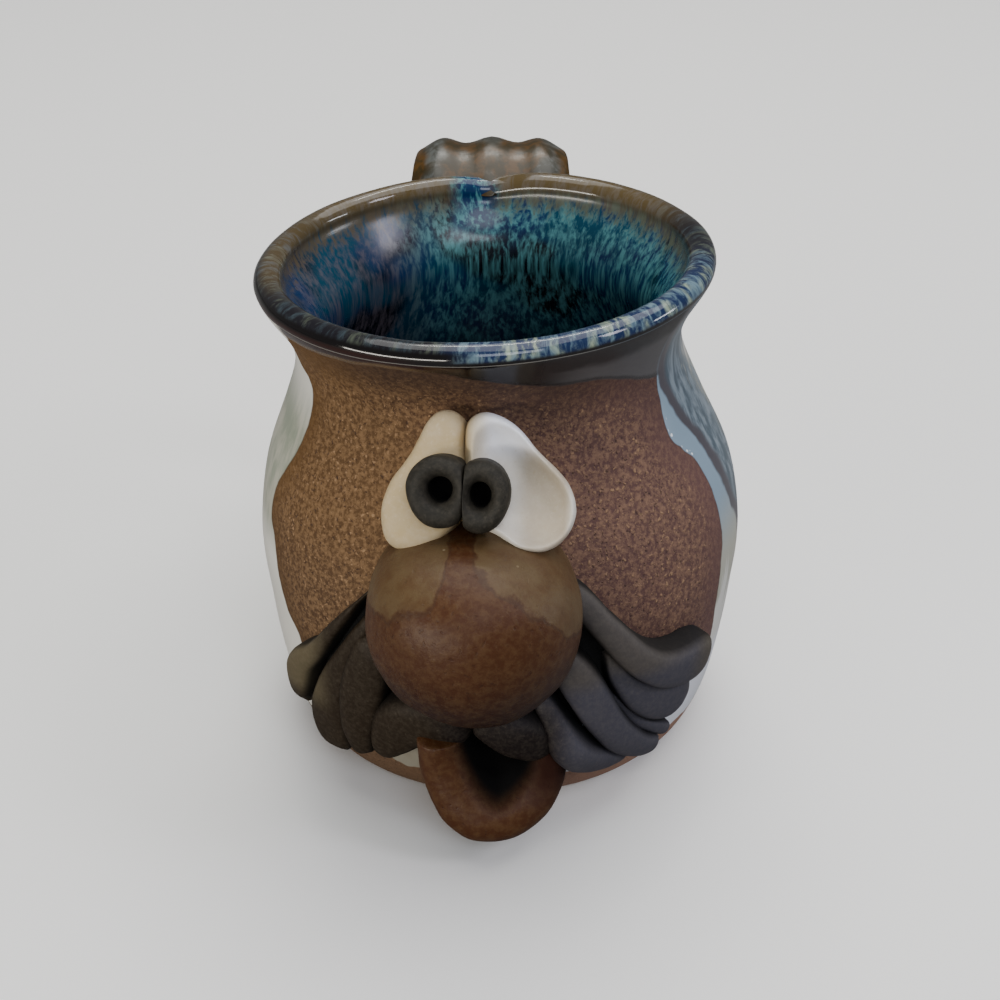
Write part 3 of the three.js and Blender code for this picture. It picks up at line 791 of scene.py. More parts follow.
def spaced(spots, count):
    """The numbers of those spots on a line that lie at equal distances along it."""
    lengths = [0.0]
    for a, b in zip(spots, spots[1:]):
        lengths.append(lengths[-1] + (b - a).length)
    wanted = [lengths[-1] * i / count for i in range(count + 1)]
    return [min(range(len(spots)), key=lambda k: abs(lengths[k] - far)) for far in wanted]


def even_places(points, count):
    """Places from 0 to 1 that lie at equal distances along the curve."""
    spots = [through(points, i / CURVE_STEPS) for i in range(CURVE_STEPS + 1)]
    return [number / CURVE_STEPS for number in spaced(spots, count)]


def shaped(value, power):
    """A sine that keeps its sign and is made fuller or leaner by a power."""
    return math.copysign(abs(value) ** power, value)


def strap_section(middle, outward, progress):
    """One section of the strap, with ridges on its outer half and rolled edges on its inner half."""
    width = mix(HANDLE_TOP_WIDTH, HANDLE_BOTTOM_WIDTH, progress ** 0.8)
    section = []
    for turn in turns(HANDLE_SIDES):
        across = shaped(math.cos(turn), 0.8) / 2
        side = shaped(math.sin(turn), 0.7)
        wave = HANDLE_RIDGE * math.cos(RIDGE_WAVE * across) * (1 - 0.4 * progress)
        roll = HANDLE_EDGE_ROLL * 2 * abs(across) * (1 - abs(across))
        depth = side * (HANDLE_THICKNESS / 2 + (wave if side > 0 else roll))
        section.append(middle + outward * depth + Vector((across * width, 0, 0)))
    return section


def cut_away(piece, tool):
    """Cut a piece by another closed form, and remove that form."""
    bpy.ops.object.select_all(action="DESELECT")
    bpy.context.view_layer.objects.active = piece
    cutter = piece.modifiers.new("cut", "BOOLEAN")
    cutter.operation = "DIFFERENCE"
    cutter.solver = "EXACT"
    cutter.object = tool
    bpy.ops.object.modifier_apply(modifier=cutter.name)
    bpy.data.objects.remove(tool, do_unlink=True)


def make_bed():
    """The room inside the wall, up to a little short of its outer side, so that cut pieces stay rooted."""
    heights = [WALL_TOP * i / BED_STEPS for i in range(BED_STEPS + 1)]
    rings = [(wall_radius(height), height) for height in heights]
    rings.append((RIM_ROLL_CENTRE + RIM_ROLL_RADIUS * 0.7, RIM_ROLL_HEIGHT))
    bed = draw_out("bed", [round_section(radius - ROOT_DEPTH, z, BODY_SIDES) for radius, z in rings])
    bend(bed, lean, dent)
    return bed


def make_handle():
    path = [Vector(point) for point in HANDLE_PATH]
    sections = []
    places = even_places(path, HANDLE_SECTIONS)
    for number, place in enumerate(places):
        along = direction(path, place)
        outward = Vector((0, -along.z, along.y)).normalized()
        sections.append(strap_section(through(path, place), outward, number / HANDLE_SECTIONS))
    piece = draw_out("handle_strap", sections, [i / HANDLE_SECTIONS for i in range(HANDLE_SECTIONS + 1)])
    soften(piece, 1, 0.0005)
    cut_away(piece, make_bed())
    return piece


HANDLE_SLATE = tone("38372f")
HANDLE_PALE = tone("545754")
HANDLE_RUST = tone("4c340f")
HANDLE_OLIVE = tone("2f250a")


def make_handle_finish():
    material, tree, shader = new_material("handle glaze")
    place = own_place(tree)
    x, y, height = split(place)
    streaks, clouds = flowing(tree, 0.0026, 0.006, 0.01, 5)
    off_middle = x - HANDLE_PATH[0][0]
    ridge = reckon("COSINE", off_middle * (RIDGE_WAVE / HANDLE_GLAZE_WIDTH))
    middle = rise(abs(off_middle), 0.009, 0.004)
    near_rim = rise(y, 0.06, 0.054) * rise(height, 0.085, 0.092)
    patch = ridge * 0.16 + clouds - (middle * 0.05 + near_rim * 0.07)
    rust = over_colour(HANDLE_OLIVE, HANDLE_RUST, rise(streaks, 0.4, 0.65))
    slate = over_colour(HANDLE_SLATE, HANDLE_PALE, rise(streaks, 0.45, 0.62))
    colour = over_colour(rust, slate, rise(patch, 0.44, 0.6))
    pale = over_colour(GREEN_GLAZE, PALE_GLAZE, rise(clouds, 0.35, 0.65))
    colour = over_colour(pale, colour, rise(height, 0.055, 0.085))
    dress(shader, colour, 0.28, noise(place, 0.005, 3) * 0.12)
    return material


handle = make_handle()
handle.data.materials.append(make_handle_finish())
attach(handle, "root")
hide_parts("handle")

# Nose: a ball of clay pressed on the belly and flattened on top by the eyes. It is brushed with brown slip,
# and its top is drawn lighter tan above a wavy line.
NOSE_MIDDLE = Vector((-0.0048, -0.0545, 0.0562))
NOSE_HALF_SIZES = (0.0199, 0.021, 0.0212)
NOSE_FLAT = 0.24
SLIP_BROWN = tone("4b2b14")
SLIP_SHADE_AND_PITS = tone("200601")
SLIP_TAN = tone("5d4c33")
SLIP_EDGE = tone("3c2a1c")
SLIP_SPECK = tone("c8b898")
# How many cells of specks there are to a metre
SLIP_SPECKS = 320
# The wavy edge of the lighter tan top of the nose: place across and height
TAN_TOP_LINE = [
    (-0.0247, 0.0605), (-0.0214, 0.0617), (-0.0173, 0.0649), (-0.0144, 0.066), (-0.012, 0.0676),
    (-0.0103, 0.07), (-0.0094, 0.0715), (-0.008, 0.0732), (-0.0056, 0.0732), (-0.0038, 0.0714),
    (-0.0014, 0.0702), (0.002, 0.0688), (0.0055, 0.0657), (0.0083, 0.0634), (0.0127, 0.058), (0.016, 0.056),
]


def make_slip(name, shade_below):
    """Brown slip: brushed, satin, with painted shade that darkens it underneath, and a few tiny pale specks.
    """
    material, tree, shader = new_material(name)
    place = own_place(tree)
    brush = noise(place, 0.012, 4, 0.6, 0.8)
    # Painted shade: the slip is drawn darker below the given height, where light from above doesn't reach.
    shade = split(place)[2] + brush * 0.012
    skin = over_colour(SLIP_SHADE_AND_PITS, SLIP_BROWN, rise(shade, shade_below, shade_below + 0.02))
    grain = place_group(
        tree, CLAY_GRAIN, Colour=skin, Grog_Colour=SLIP_TAN, Pit_Colour=SLIP_SHADE_AND_PITS, Grain_Size=0.0016,
        Grog=0.16, Pits=0.3, Mottle=0.5, Roughness=0.12,
    )
    cells = work("TexVoronoi", "Distance", {"Vector": place, "Scale": SLIP_SPECKS, "Randomness": 1})
    chance = work("SeparateColor", 0, {0: cells.other("Color")})
    specks = rise(cells, 0.1, 0.06) * rise(chance, 0.82, 0.86)
    skin = over_colour(grain["Colour"], SLIP_SPECK, specks)
    dress(shader, skin, between(0.38, 0.55, brush), grain["Height"])
    shader.inputs["Specular IOR Level"].default_value = 0.25
    return material


def finish_so_far(material):
    """A material's tree, its main shader and the colour that feeds it."""
    tree = material.node_tree
    shader = tree.nodes["Principled BSDF"]
    return tree, shader, Value(tree, shader.inputs["Base Color"].links[0].from_socket)


def lighten_nose_top(material):
    """The top of the nose is drawn lighter tan above a wavy line, with a darker edge along it."""
    tree, shader, skin = finish_so_far(material)
    place = own_place(tree)
    x, _, height = split(place)
    line = along_curve(x, TAN_TOP_LINE, (TAN_TOP_LINE[0][0], TAN_TOP_LINE[-1][0]), (0.05, 0.08))
    above = height - line + (noise(place, 0.004, 3) - 0.5) * 0.004
    cloud = between(0.45, 0.85, rise(noise(place, 0.005, 4, 0.65), 0.35, 0.65))
    tan_top = over_colour(skin, SLIP_TAN, rise(above, 0, 0.0008) * cloud)
    edge = rise(abs(above), 0.0006, 0)
    feed(shader, {"Base Color": over_colour(tan_top, SLIP_EDGE, edge * 0.5)})


def make_nose():
    bpy.ops.object.select_all(action="DESELECT")
    bpy.ops.mesh.primitive_uv_sphere_add(segments=48, ring_count=32, radius=1)
    piece = bpy.context.object
    piece.name = "nose_ball"
    for vert in piece.data.vertices:
        if vert.co.z > 0:
            vert.co.z -= NOSE_FLAT * vert.co.z ** 3
    bpy.ops.object.mode_set(mode="EDIT")
    bpy.ops.mesh.select_all(action="SELECT")
    bpy.ops.transform.resize(value=NOSE_HALF_SIZES, center_override=(0, 0, 0))
    bpy.ops.transform.translate(value=NOSE_MIDDLE)
    bpy.ops.object.mode_set(mode="OBJECT")
    soften(piece, 1, 0.0012, 0.014)
    return piece


nose = make_nose()
nose.data.materials.append(make_slip("nose slip", 0.046))
lighten_nose_top(nose.data.materials[0])
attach(nose, "root")
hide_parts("nose")

# Lips: a pursed ring of clay with a deep hole, pressed on the belly under the moustache. It is brushed with
# the same brown slip, and the hole is painted dark as shade.
LIPS_Z = 0.025
LIPS_TOP_REACH = 0.051
LIPS_FALL = 0.0019
LIPS_RIGHT_FALL = 0.0042
LIPS_RIGHT_SINK = 0.003
# Each level: place across, half width, drop below the middle, rise above it, reach at the bottom and at the
# sides, fullness
LIP_LEVELS = [
    (-0.0016, 0.0138, 0.0184, 0.0046, 0.038, 0.038, 2),
    (-0.0016, 0.0144, 0.0196, 0.005, 0.046, 0.047, 2.1),
    (-0.0016, 0.0147, 0.0196, 0.0036, 0.055, 0.052, 2.1),
    (-0.0016, 0.0144, 0.0193, 0.0028, 0.06, 0.056, 2.3),
    (-0.0013, 0.0122, 0.0159, 0.0022, 0.0624, 0.0582, 2.1),
    (-0.0006, 0.0086, 0.0118, 0.0016, 0.0618, 0.0574, 1.9),
    (-0.0003, 0.0064, 0.0094, 0.0013, 0.0588, 0.0548, 1.6),
    (-0.0003, 0.0052, 0.0078, 0.0012, 0.05, 0.0495, 1.4),
]
LIP_SIDES = 40
DEEP_SHADE = tone("020101")


def lip_section(x, width, drop, up_rise, front, side, full):
    section = []
    for turn in turns(LIP_SIDES):
        below = math.sin(turn) < 0
        power = 2 / full if below else 1
        across = shaped(math.cos(turn), power)
        up = shaped(math.sin(turn), power)
        right = max(0.0, across)
        at_side = side - LIPS_RIGHT_SINK * right
        reach = mix(at_side, front if below else min(at_side, LIPS_TOP_REACH), up * up)
        fall = mix(LIPS_FALL, LIPS_RIGHT_FALL, right) * across * (1 - up * up if below else 1)
        height = LIPS_Z + up * (drop if below else up_rise) - fall
        section.append(Vector((x + width * across, -reach, height)))
    return section


# The marks paint the hole's inner levels dark as shade.
lips = draw_out("lips_ring", [lip_section(*level) for level in LIP_LEVELS], [0, 0, 0, 0, 0, 0, 0.45, 1])
soften(lips, 2, 0.0009)


def darken_mouth(material):
    """Painted shade: the inside of the mouth is drawn near black and dull, and the right corner under the
    moustache dark brown.
    """
    tree, shader, skin = finish_so_far(material)
    depth = own_mark(tree)
    x, _, height = split(own_place(tree))
    corner_shade = rise(x, 0.003, 0.009) * rise(height, 0.01, 0.019) * 0.9
    skin = over_colour(skin, SLIP_SHADE_AND_PITS, corner_shade)
    skin = over_colour(skin, DEEP_SHADE, rise(depth, 0, 0.6))
    gloss = between(0.45, 1, larger(rise(depth, 0, 0.4), corner_shade))
    feed(shader, {"Base Color": skin, "Roughness": gloss})


lips.data.materials.append(make_slip("lips slip", -0.004))
darken_mouth(lips.data.materials[0])
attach(lips, "root")
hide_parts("lips")

# Eyes: two pads of white clay cut to a leaf shape, leaned back against the shoulder over the nose.
# The left one swells in the middle; the right one is dished by a thumb and keeps a thick rim.
EYE_TILT = 30
# Each level of a pad: its size against the outline, and how far it stands out
EYES = {
    "eye_left": {
        "middle": (-0.01, -0.048, 0.08), "turn": -8, "inner": (-0.003, -0.003),
        "outline": [
            (0, 0.0131), (0.0026, 0.0112), (0.0033, 0.006), (0.004, 0.001), (0.0042, -0.003),
            (0.0029, -0.0076), (-0.0013, -0.0115), (-0.0058, -0.0131), (-0.0095, -0.0116),
            (-0.0109, -0.007), (-0.0097, -0.0008), (-0.0064, 0.0042), (-0.0046, 0.0085), (-0.0028, 0.012),
        ],
        "levels": [
            (1, -0.016), (1, -0.004), (1, 0), (0.97, 0.0014), (0.88, 0.0025), (0.7, 0.003), (0.4, 0.003),
            (0.12, 0.003),
        ],
    },
    "eye_right": {
        "middle": (0.003, -0.0485, 0.08), "turn": 4, "inner": (0.0015, -0.003),
        "outline": [
            (-0.0054, 0.013), (-0.0022, 0.0121), (0.0007, 0.0099), (0.0029, 0.007), (0.006, 0.0035),
            (0.0089, 0), (0.0105, -0.005), (0.0086, -0.0102), (0.0042, -0.0126), (-0.0004, -0.012),
            (-0.004, -0.009), (-0.0082, -0.0063), (-0.0092, -0.001), (-0.0092, 0.005), (-0.0082, 0.0114),
        ],
        "levels": [
            (1, -0.016), (1, -0.004), (1, 0), (0.97, 0.0024), (0.92, 0.0034), (0.86, 0.0035), (0.79, 0.002),
            (0.68, 0.0006), (0.36, 0.0002), (0.1, 0.0002),
        ],
    },
}
EYE_SIDES = 40
OUTLINE_STEPS = 600
EYE_WHITE = tone("e4dfd6")
EYE_PIT_AND_WARM_LIGHT = tone("b59c68")
EYE_COOL_LIGHT = tone("f2f5ff")
EYE_DISH_SHADE = tone("b0a189")
EYE_SPECK = tone("f0ead8")


def face_frame(middle, turn, tilt):
    """A frame on the face: across, up, and out of it, turned to the side and leaned back."""
    side, back = math.radians(turn), math.radians(tilt)
    out = Vector((math.sin(side) * math.cos(back), -math.cos(side) * math.cos(back), math.sin(back)))
    across = Vector((math.cos(side), math.sin(side), 0))
    up = out.cross(across)
    turned = Matrix((across, up, out)).transposed().to_4x4()
    return Matrix.Translation(middle) @ turned


def closed_outline(corners, sides):
    """Points at equal distances along a smooth closed outline through its corners."""
    loop = [Vector((x, y, 0)) for x, y in corners]
    laps = loop * 3
    first, last = len(loop) / (len(laps) - 1), 2 * len(loop) / (len(laps) - 1)
    spots = [through(laps, mix(first, last, i / OUTLINE_STEPS)) for i in range(OUTLINE_STEPS)]
    spots.append(spots[0])
    return [spots[number] for number in spaced(spots, sides)[:-1]]


def make_eye(name, eye):
    frame_of_eye = face_frame(eye["middle"], eye["turn"], EYE_TILT)
    inner = Vector((*eye["inner"], 0))
    edge = closed_outline(eye["outline"], EYE_SIDES)
    sections = []
    for scale, height in eye["levels"]:
        level = [inner + (point - inner) * scale + Vector((0, 0, height)) for point in edge]
        sections.append([frame_of_eye @ point for point in level])
    piece = draw_out(name + "_pad", sections)
    soften(piece, 2, 0.0006, 0.008)
    return piece


def make_matt_clay(name, ground, speck, pit, size, specks, rough):
    """Smooth clay rubbed by fingers, with few specks, and painted shade where the mark says so. ground gives
    its colour at a place.
    """
    material, tree, shader = new_material(name)
    place = own_place(tree)
    grain = place_group(
        tree, CLAY_GRAIN, Colour=ground(place), Grog_Colour=speck, Pit_Colour=pit, Grain_Size=size,
        Grog=specks, Pits=specks, Mottle=0.12, Roughness=0.05,
    )
    depth = own_mark(tree)
    # Painted shade: points marked by draw_out, in the iris holes and the moustache grooves, are drawn near
    # black and dull.
    colour = over_colour(grain["Colour"], DEEP_SHADE, depth)
    dress(shader, colour, between(rough, 1, depth), grain["Height"])
    shader.inputs["Specular IOR Level"].default_value = 0.2
    return material


def white_ground(place):
    """White clay: painted cool light at the top right, painted shade in the right eye's dish, and painted
    warm light in cream on the left.
    """
    x, _, height = split(place)
    clouds = noise(place, 0.009, 3, 0.5, 0.4)
    # Painted warm light: the left eye is drawn cream.
    warm_light = rise(x, -0.002, -0.0065) * between(0.6, 1, clouds)
    ground = over_colour(EYE_WHITE, EYE_PIT_AND_WARM_LIGHT, warm_light)
    # Painted cool light: the top of the right eye is drawn bluish white.
    cool_light = rise(x, -0.0035, -0.001) * rise(x, 0.0075, 0.004) * rise(height, 0.0825, 0.0875)
    ground = over_colour(ground, EYE_COOL_LIGHT, cool_light)
    # Painted shade: the hollow of the right eye's dish is drawn beige.
    dish_shade = rise(x, 0.0015, 0.0055) * rise(x, 0.0132, 0.0112) * rise(height, 0.069, 0.0725)
    dish_shade = dish_shade * rise(height, 0.088, 0.0825) * between(0.5, 1, clouds)
    return over_colour(ground, EYE_DISH_SHADE, dish_shade)


white_clay = make_matt_clay("white clay", white_ground, EYE_SPECK, EYE_PIT_AND_WARM_LIGHT, 0.0012, 0.15, 0.5)
eye_pads = []
for name, eye in EYES.items():
    pad = make_eye(name, eye)
    pad.data.materials.append(white_clay)
    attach(pad, "root")
    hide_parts(name)
    eye_pads.append(pad)

# Irises: two buttons of dark clay, each poked with a round stick for a pupil and pressed against its
# neighbour on the eyes.
IRIS_RADIUS = 0.0061
IRIS_HOLE = 0.0022
IRIS_HOLE_DEPTH = 0.0055
IRIS_RISE = 0.0046
IRIS_CROWN = 0.0024
IRIS_SINK = 0.005
STICK_RADIUS = IRIS_HOLE * 1.2
STICK_END = IRIS_RISE - IRIS_HOLE_DEPTH - 0.001
STICK_SIDES = 24
IRIS_TILT = 24
IRIS_DROOP = 1.17
IRISES = {
    "iris_left": {"middle": (-0.0103, -0.0512, 0.0807), "turn": -6, "squeeze": 1, "contact": 0.0041},
    "iris_right": {"middle": (-0.0033, -0.0523, 0.0803), "turn": -4, "squeeze": 0.88, "contact": -0.0029},
}
IRIS_SIDES = 40
CHARCOAL_BROWN = tone("261c10")
CHARCOAL_BLUE = tone("45444d")
CHARCOAL_NOSE_SHADE = tone("150d0c")
CHARCOAL_DUST_AND_LIGHT = tone("5b523e")
CHARCOAL_BUTTON = tone("282621")
CHARCOAL_SPECK = tone("8a8070")
CHARCOAL_PIT = tone("14110f")


def charcoal_ground(place):
    """Dark clay: brown on the left, bluer on the right, with painted shade low in the middle under the nose,
    painted light on the far left and upper right, and dust at the far right.
    """
    x, _, height = split(place)
    side = x + (noise(place, 0.012, 3, 0.5, 0.4) - 0.5) * 0.01
    ground = over_colour(CHARCOAL_BROWN, CHARCOAL_BLUE, rise(side, -0.008, 0.013))
    # Painted shade: low in the middle, under the nose, the rolls are drawn darkest.
    middle = rise(height, 0.04, 0.029) * rise(abs(x), 0.016, 0.008)
    ground = over_colour(ground, CHARCOAL_NOSE_SHADE, middle)
    ground = over_colour(ground, CHARCOAL_BUTTON, rise(height, 0.066, 0.07))
    # Painted light on the far left and the upper right, where it falls on the rolls; dust on the far right
    # tip.
    far_left = rise(x, -0.032, -0.038) * rise(height, 0.021, 0.028) * rise(height, 0.05, 0.044)
    far_right = rise(x, 0.036, 0.042) * 0.6
    upper_right = rise(x, 0.008, 0.012) * rise(height, 0.036, 0.041) * rise(height, 0.066, 0.06) * 0.4
    return over_colour(ground, CHARCOAL_DUST_AND_LIGHT, larger(larger(far_left, far_right), upper_right))


def pierce(pad, name, iris):
    """The stick that made the pupil went through into the eye behind it."""
    seat = face_frame(iris["middle"], iris["turn"], IRIS_TILT)
    ends = [round_section(STICK_RADIUS, z, STICK_SIDES) for z in (STICK_END, IRIS_RISE)]
    cut_away(pad, draw_out(name + "_stick", [[seat @ point for point in end] for end in ends]))


def iris_sections():
    """Rings of the button from its root, over its round crown and down into the hole."""
    half = (IRIS_RADIUS - IRIS_HOLE) / 2
    rings = [(IRIS_RADIUS * 0.9, -IRIS_SINK, 0), (IRIS_RADIUS, -IRIS_SINK * 0.5, 0)]
    for out, up in arc(-20, 170, 9):
        rings.append((IRIS_HOLE + half + half * out, IRIS_RISE - IRIS_CROWN + IRIS_CROWN * up, 0))
    rings.append((IRIS_HOLE, IRIS_RISE - 1.3 * IRIS_CROWN, 0))
    # The last rings are marked to be painted dark as shade in the hole.
    rings.append((IRIS_HOLE, IRIS_RISE - 1.6 * IRIS_CROWN, 0.5))
    rings.append((IRIS_HOLE * 0.95, IRIS_RISE - IRIS_HOLE_DEPTH, 1))
    rings.append((IRIS_HOLE * 0.5, IRIS_RISE - IRIS_HOLE_DEPTH - 0.0004, 1))
    return rings


def make_iris(name, iris):
    seat = face_frame(iris["middle"], iris["turn"], IRIS_TILT)
    side = math.copysign(1, iris["contact"])
    rings = iris_sections()
    sections = []
    for radius, height, _ in rings:
        pressed = []
        for point in round_section(radius, height, IRIS_SIDES):
            x = side * min(side * point.x * iris["squeeze"], abs(iris["contact"]))
            y = point.y * (IRIS_DROOP if point.y < 0 else 1)
            pressed.append(seat @ Vector((x, y, point.z)))
        sections.append(pressed)
    piece = draw_out(name + "_button", sections, [shade for _, _, shade in rings])
    soften(piece, 1, 0.0004, 0.006)
    return piece


charcoal = make_matt_clay("charcoal clay", charcoal_ground, CHARCOAL_SPECK, CHARCOAL_PIT, 0.001, 0.06, 0.6)
for name, iris in IRISES.items():
    button = make_iris(name, iris)
    button.data.materials.append(charcoal)
    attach(button, "root")
    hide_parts(name)
    for pad in eye_pads:
        pierce(pad, name, iris)

# Moustache: ten flattened rolls of charcoal clay, laid over the belly from under the nose to both sides
# and pressed down over each other. Each station: angle from the front, height, width and lift.
STRANDS = {
    "moustache_left_1": [
        (-26, 0.0561, 0.0017, 0.004), (-28.8, 0.0536, 0.0008, 0.0046), (-33.4, 0.0482, 0.0021, 0.005),
        (-38.1, 0.0425, 0.0035, 0.0054), (-42.9, 0.0369, 0.0045, 0.0058), (-46.7, 0.0337, 0.006, 0.0058),
        (-50.3, 0.0281, 0.0075, 0.0056), (-52.4, 0.0226, 0.0063, 0.005), (-51.9, 0.0188, 0.0028, 0.004),
    ],
    "moustache_left_2": [
        (-26.3, 0.0512, 0.0026, 0.0035), (-28.5, 0.0477, 0.0029, 0.004), (-32, 0.0424, 0.0044, 0.0046),
        (-36.1, 0.0351, 0.0063, 0.005), (-39.6, 0.0276, 0.0084, 0.0052), (-42, 0.0204, 0.0108, 0.0052),
        (-42.1, 0.0148, 0.0102, 0.0048), (-41.5, 0.0108, 0.0069, 0.0038),
    ],
    "moustache_left_3": [
        (-25.6, 0.0471, 0.0066, 0.0046), (-27.5, 0.0416, 0.0088, 0.0056), (-29.2, 0.0353, 0.0102, 0.0062),
        (-31.1, 0.0285, 0.0096, 0.0064), (-32.7, 0.0217, 0.0081, 0.006), (-32.8, 0.0165, 0.0063, 0.0052),
        (-31.7, 0.0144, 0.0034, 0.004),
    ],
    "moustache_left_4": [
        (-4.6, 0.0326, 0.0097, 0.008), (-10.3, 0.0314, 0.0117, 0.0084), (-15.7, 0.0302, 0.0132, 0.008),
        (-20.2, 0.0278, 0.0131, 0.0074), (-23.3, 0.0238, 0.0109, 0.0066), (-26.3, 0.0191, 0.0069, 0.0056),
        (-28.3, 0.0154, 0.0029, 0.0042),
    ],
    "moustache_right_1": [
        (12.9, 0.0591, 0.0056, 0.005), (16.3, 0.0555, 0.0056, 0.006), (19.9, 0.0512, 0.0057, 0.0066),
        (24, 0.0463, 0.0064, 0.0068), (28.5, 0.0416, 0.0069, 0.007), (33.5, 0.0377, 0.0084, 0.007),
        (38.9, 0.0353, 0.0103, 0.0068), (44.6, 0.0342, 0.0112, 0.0064), (49.6, 0.0338, 0.0088, 0.0056),
        (53, 0.033, 0.0036, 0.0042),
    ],
    "moustache_right_2": [
        (23.3, 0.0419, 0.0026, 0.003), (25.2, 0.0383, 0.0043, 0.0038), (27.2, 0.035, 0.0051, 0.0044),
        (31.8, 0.0303, 0.0084, 0.0048), (37.2, 0.0269, 0.0098, 0.0048), (41.6, 0.0254, 0.0108, 0.0046),
        (45.3, 0.0262, 0.0081, 0.004), (49, 0.0273, 0.0047, 0.003),
    ],
    "moustache_right_3": [
        (11, 0.046, 0.0056, 0.005), (13.7, 0.0427, 0.0073, 0.006), (16.8, 0.0379, 0.0086, 0.0066),
        (19.6, 0.0328, 0.0082, 0.0068), (23, 0.0269, 0.008, 0.0068), (27.6, 0.0213, 0.0074, 0.0064),
        (32.8, 0.0171, 0.0064, 0.0056), (37.8, 0.015, 0.0046, 0.0046), (41.4, 0.0142, 0.0017, 0.0034),
    ],
    "moustache_right_4": [
        (8, 0.037, 0.004, 0.0045), (9.7, 0.0333, 0.005, 0.006), (11.5, 0.0292, 0.0061, 0.0084),
        (13.7, 0.0249, 0.0076, 0.0098), (17.3, 0.0207, 0.0078, 0.0086), (22.2, 0.0175, 0.0061, 0.0062),
        (27.7, 0.0154, 0.0039, 0.0046), (33.1, 0.0143, 0.0019, 0.003),
    ],
    "moustache_right_5": [
        (-4.9, 0.0339, 0.0089, 0.008), (-1.5, 0.0322, 0.0098, 0.009), (1.9, 0.0299, 0.0107, 0.0094),
        (4.9, 0.0276, 0.0109, 0.009), (7.3, 0.0248, 0.008, 0.008), (9.3, 0.0219, 0.0037, 0.006),
    ],
    "moustache_right_6": [
        (24.8, 0.032, 0.0011, 0.0026), (28.3, 0.0276, 0.002, 0.003), (32.1, 0.0232, 0.0026, 0.0034),
        (36.9, 0.0195, 0.003, 0.0036), (41.7, 0.0167, 0.0034, 0.0034), (44.2, 0.0155, 0.0025, 0.003),
    ],
}
STRAND_SECTIONS = 24
STRAND_SIDES = 24
STRAND_ROOT = 0.0034
STRAND_SPREAD = 0.98
# Shares of a roll's lift: where its middle lies, and how far its back bulges from there
STRAND_MIDDLE = 0.3
STRAND_BULGE = 0.7
STRAND_END = 0.45
GROOVE_SHADE = 0.8


def on_wall(angle, height):
    radius = wall_radius(height)
    return lean(Vector((radius * math.sin(angle), -radius * math.cos(angle), height)))


def wall_normal(angle, height):
    slope = (wall_radius(height + 0.0005) - wall_radius(height - 0.0005)) / 0.001
    return Vector((math.sin(angle), -math.cos(angle), -slope)).normalized()


def fullness(progress):
    """How full a roll is along its length: thin at both ends, whole from about a twelfth of it in."""
    from_end = min(1.0, 14 * progress * (1 - progress))
    return max(STRAND_END, math.sqrt(1 - (1 - from_end) ** 2))


def roll_section(middle, along, width, lift):
    """One section of a roll: flattened outwards, with a shallow root in the wall."""
    out = wall_normal(math.atan2(middle.x, -middle.y), middle.z)
    across = along.cross(out).normalized()
    section = []
    for turn in turns(STRAND_SIDES):
        bulge = STRAND_BULGE * lift if math.sin(turn) > 0 else STRAND_ROOT
        reach = across * (width / 2) * shaped(math.cos(turn), 0.8) * STRAND_SPREAD
        section.append(middle + reach + out * (STRAND_MIDDLE * lift + bulge * shaped(math.sin(turn), 0.5)))
    return section


def groove_shade_marks(even):
    """How much painted shade darkens each point of a section: most on its sides, none on its back or ends."""
    share = GROOVE_SHADE * smooth_step(min(even, 1 - even), 0.02, 0.14)
    return [share * (1 - smooth_step(math.sin(turn), 0.2, 0.75)) for turn in turns(STRAND_SIDES)]


def make_strand(name, stations):
    path = [on_wall(math.radians(angle), height) for angle, height, _, _ in stations]
    sizes = [Vector((width, lift, 0)) for _, _, width, lift in stations]
    sections = []
    for i in range(STRAND_SECTIONS + 1):
        even = i / STRAND_SECTIONS
        close_at_ends = (1 - math.cos(even * math.pi)) / 2
        progress = mix(close_at_ends, even, 0.35)
        full = fullness(close_at_ends)
        size = through(sizes, progress)
        width, lift = size.x * full, size.y * mix(STRAND_END, 1, full)
        sections.append(roll_section(through(path, progress), direction(path, progress), width, lift))
    marks = [groove_shade_marks(i / STRAND_SECTIONS) for i in range(STRAND_SECTIONS + 1)]
    piece = draw_out(name + "_roll", sections, marks)
    soften(piece, 1, 0.0006, 0.009)
    return piece


for name, stations in STRANDS.items():
    roll = make_strand(name, stations)
    roll.data.materials.append(charcoal)
    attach(roll, "root")
    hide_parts(name)

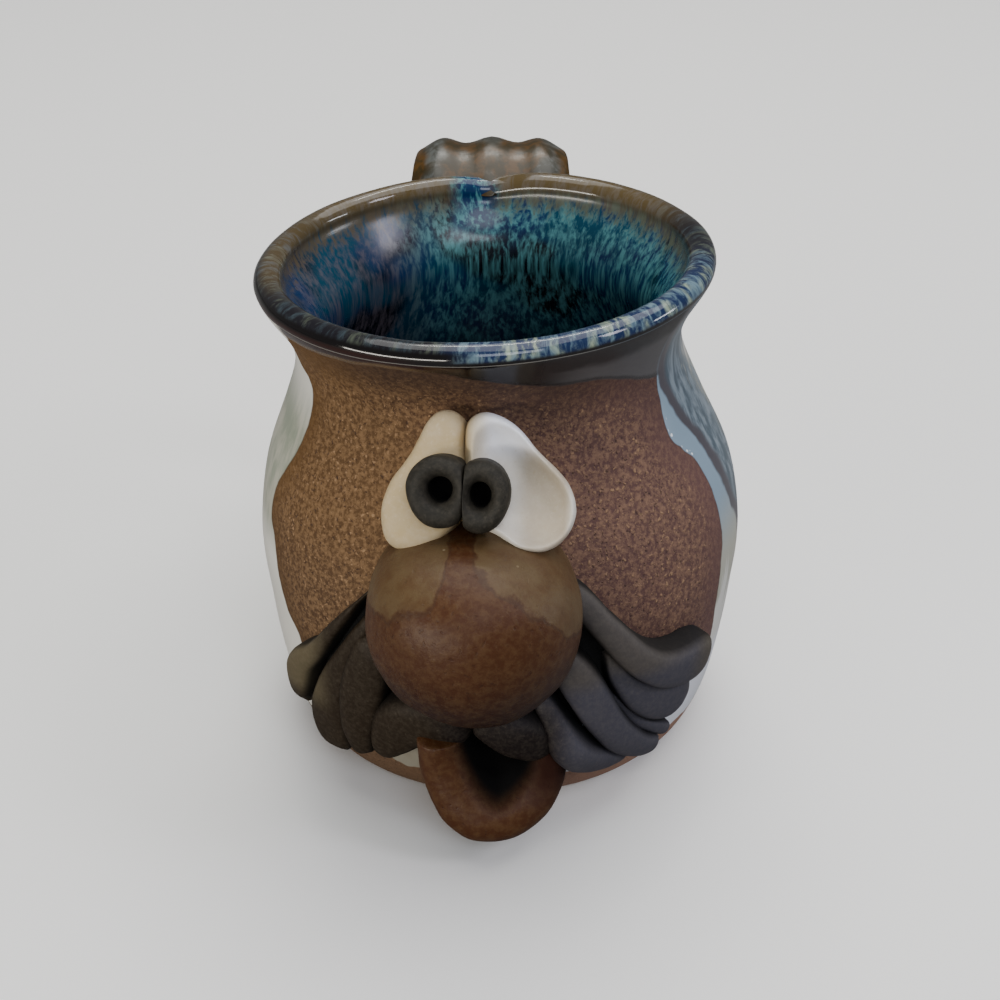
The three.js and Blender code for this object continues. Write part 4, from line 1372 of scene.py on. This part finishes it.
# Floor and lights: a plain pale floor in a pale room, under a wide soft ceiling. There are windows to the
# left, in front and to the right, a small lamp at the right and a strip behind.
FLOOR_TONE = (0.98, 0.98, 0.97, 1.0)
FLOOR_BOUNCE = (0.2, 0.2, 0.2, 1.0)
FLOOR_SIZE = 6
ROOM_LIGHT = 0.17
# Each light: azimuth and elevation in degrees, distance, width and height, power, tint
LIGHTS = {
    "ceiling": (150, 78, 1.3, (1.6, 1.6), 20.0, (1.0, 0.99, 0.97)),
    "window_left": (-43, 6, 1.2, (1.1, 0.13), 9.5, (1.0, 0.95, 0.86)),
    "window_front": (10, 40, 1.3, (0.6, 0.4), 4.2, (0.83, 0.89, 1.0)),
    "lamp_right": (92, 11, 1.2, (0.3, 0.12), 1.8, (0.9, 0.94, 1.0)),
    "window_right": (66, 39, 1.2, (0.24, 0.3), 2.6, (0.94, 0.9, 1.0)),
    "strip_behind": (180, 62, 1.2, (0.6, 0.06), 2.5, (1.0, 0.98, 0.9)),
}

bpy.ops.object.select_all(action="DESELECT")
bpy.ops.mesh.primitive_plane_add(size=FLOOR_SIZE)
floor = bpy.context.object
floor.name = "floor"
floor_paint, floor_tree, floor_shader = new_material("pale floor")
seen = put(floor_tree, "LightPath", "Is Camera Ray")
feed(floor_shader, {"Base Color": over_colour(FLOOR_BOUNCE, FLOOR_TONE, seen), "Roughness": 0.9})
floor.data.materials.append(floor_paint)

target = Vector((0, 0, LOOK_AT_HEIGHT))
for name, (azimuth, elevation, distance, size, power, tint) in LIGHTS.items():
    offset = around(math.radians(azimuth), math.radians(elevation), distance)
    bpy.ops.object.light_add(type="AREA", location=target + offset)
    lamp = bpy.context.object
    lamp.name = name
    lamp.rotation_euler = offset.to_track_quat("Z", "Y").to_euler()
    lamp.data.shape = "RECTANGLE"
    lamp.data.size, lamp.data.size_y = size
    lamp.data.energy = power
    lamp.data.color = tint

room = bpy.data.worlds.new("room")
room.use_nodes = True
room.node_tree.nodes["Background"].inputs["Color"].default_value = (1.0, 1.0, 1.0, 1.0)
room.node_tree.nodes["Background"].inputs["Strength"].default_value = ROOM_LIGHT
bpy.context.scene.world = room
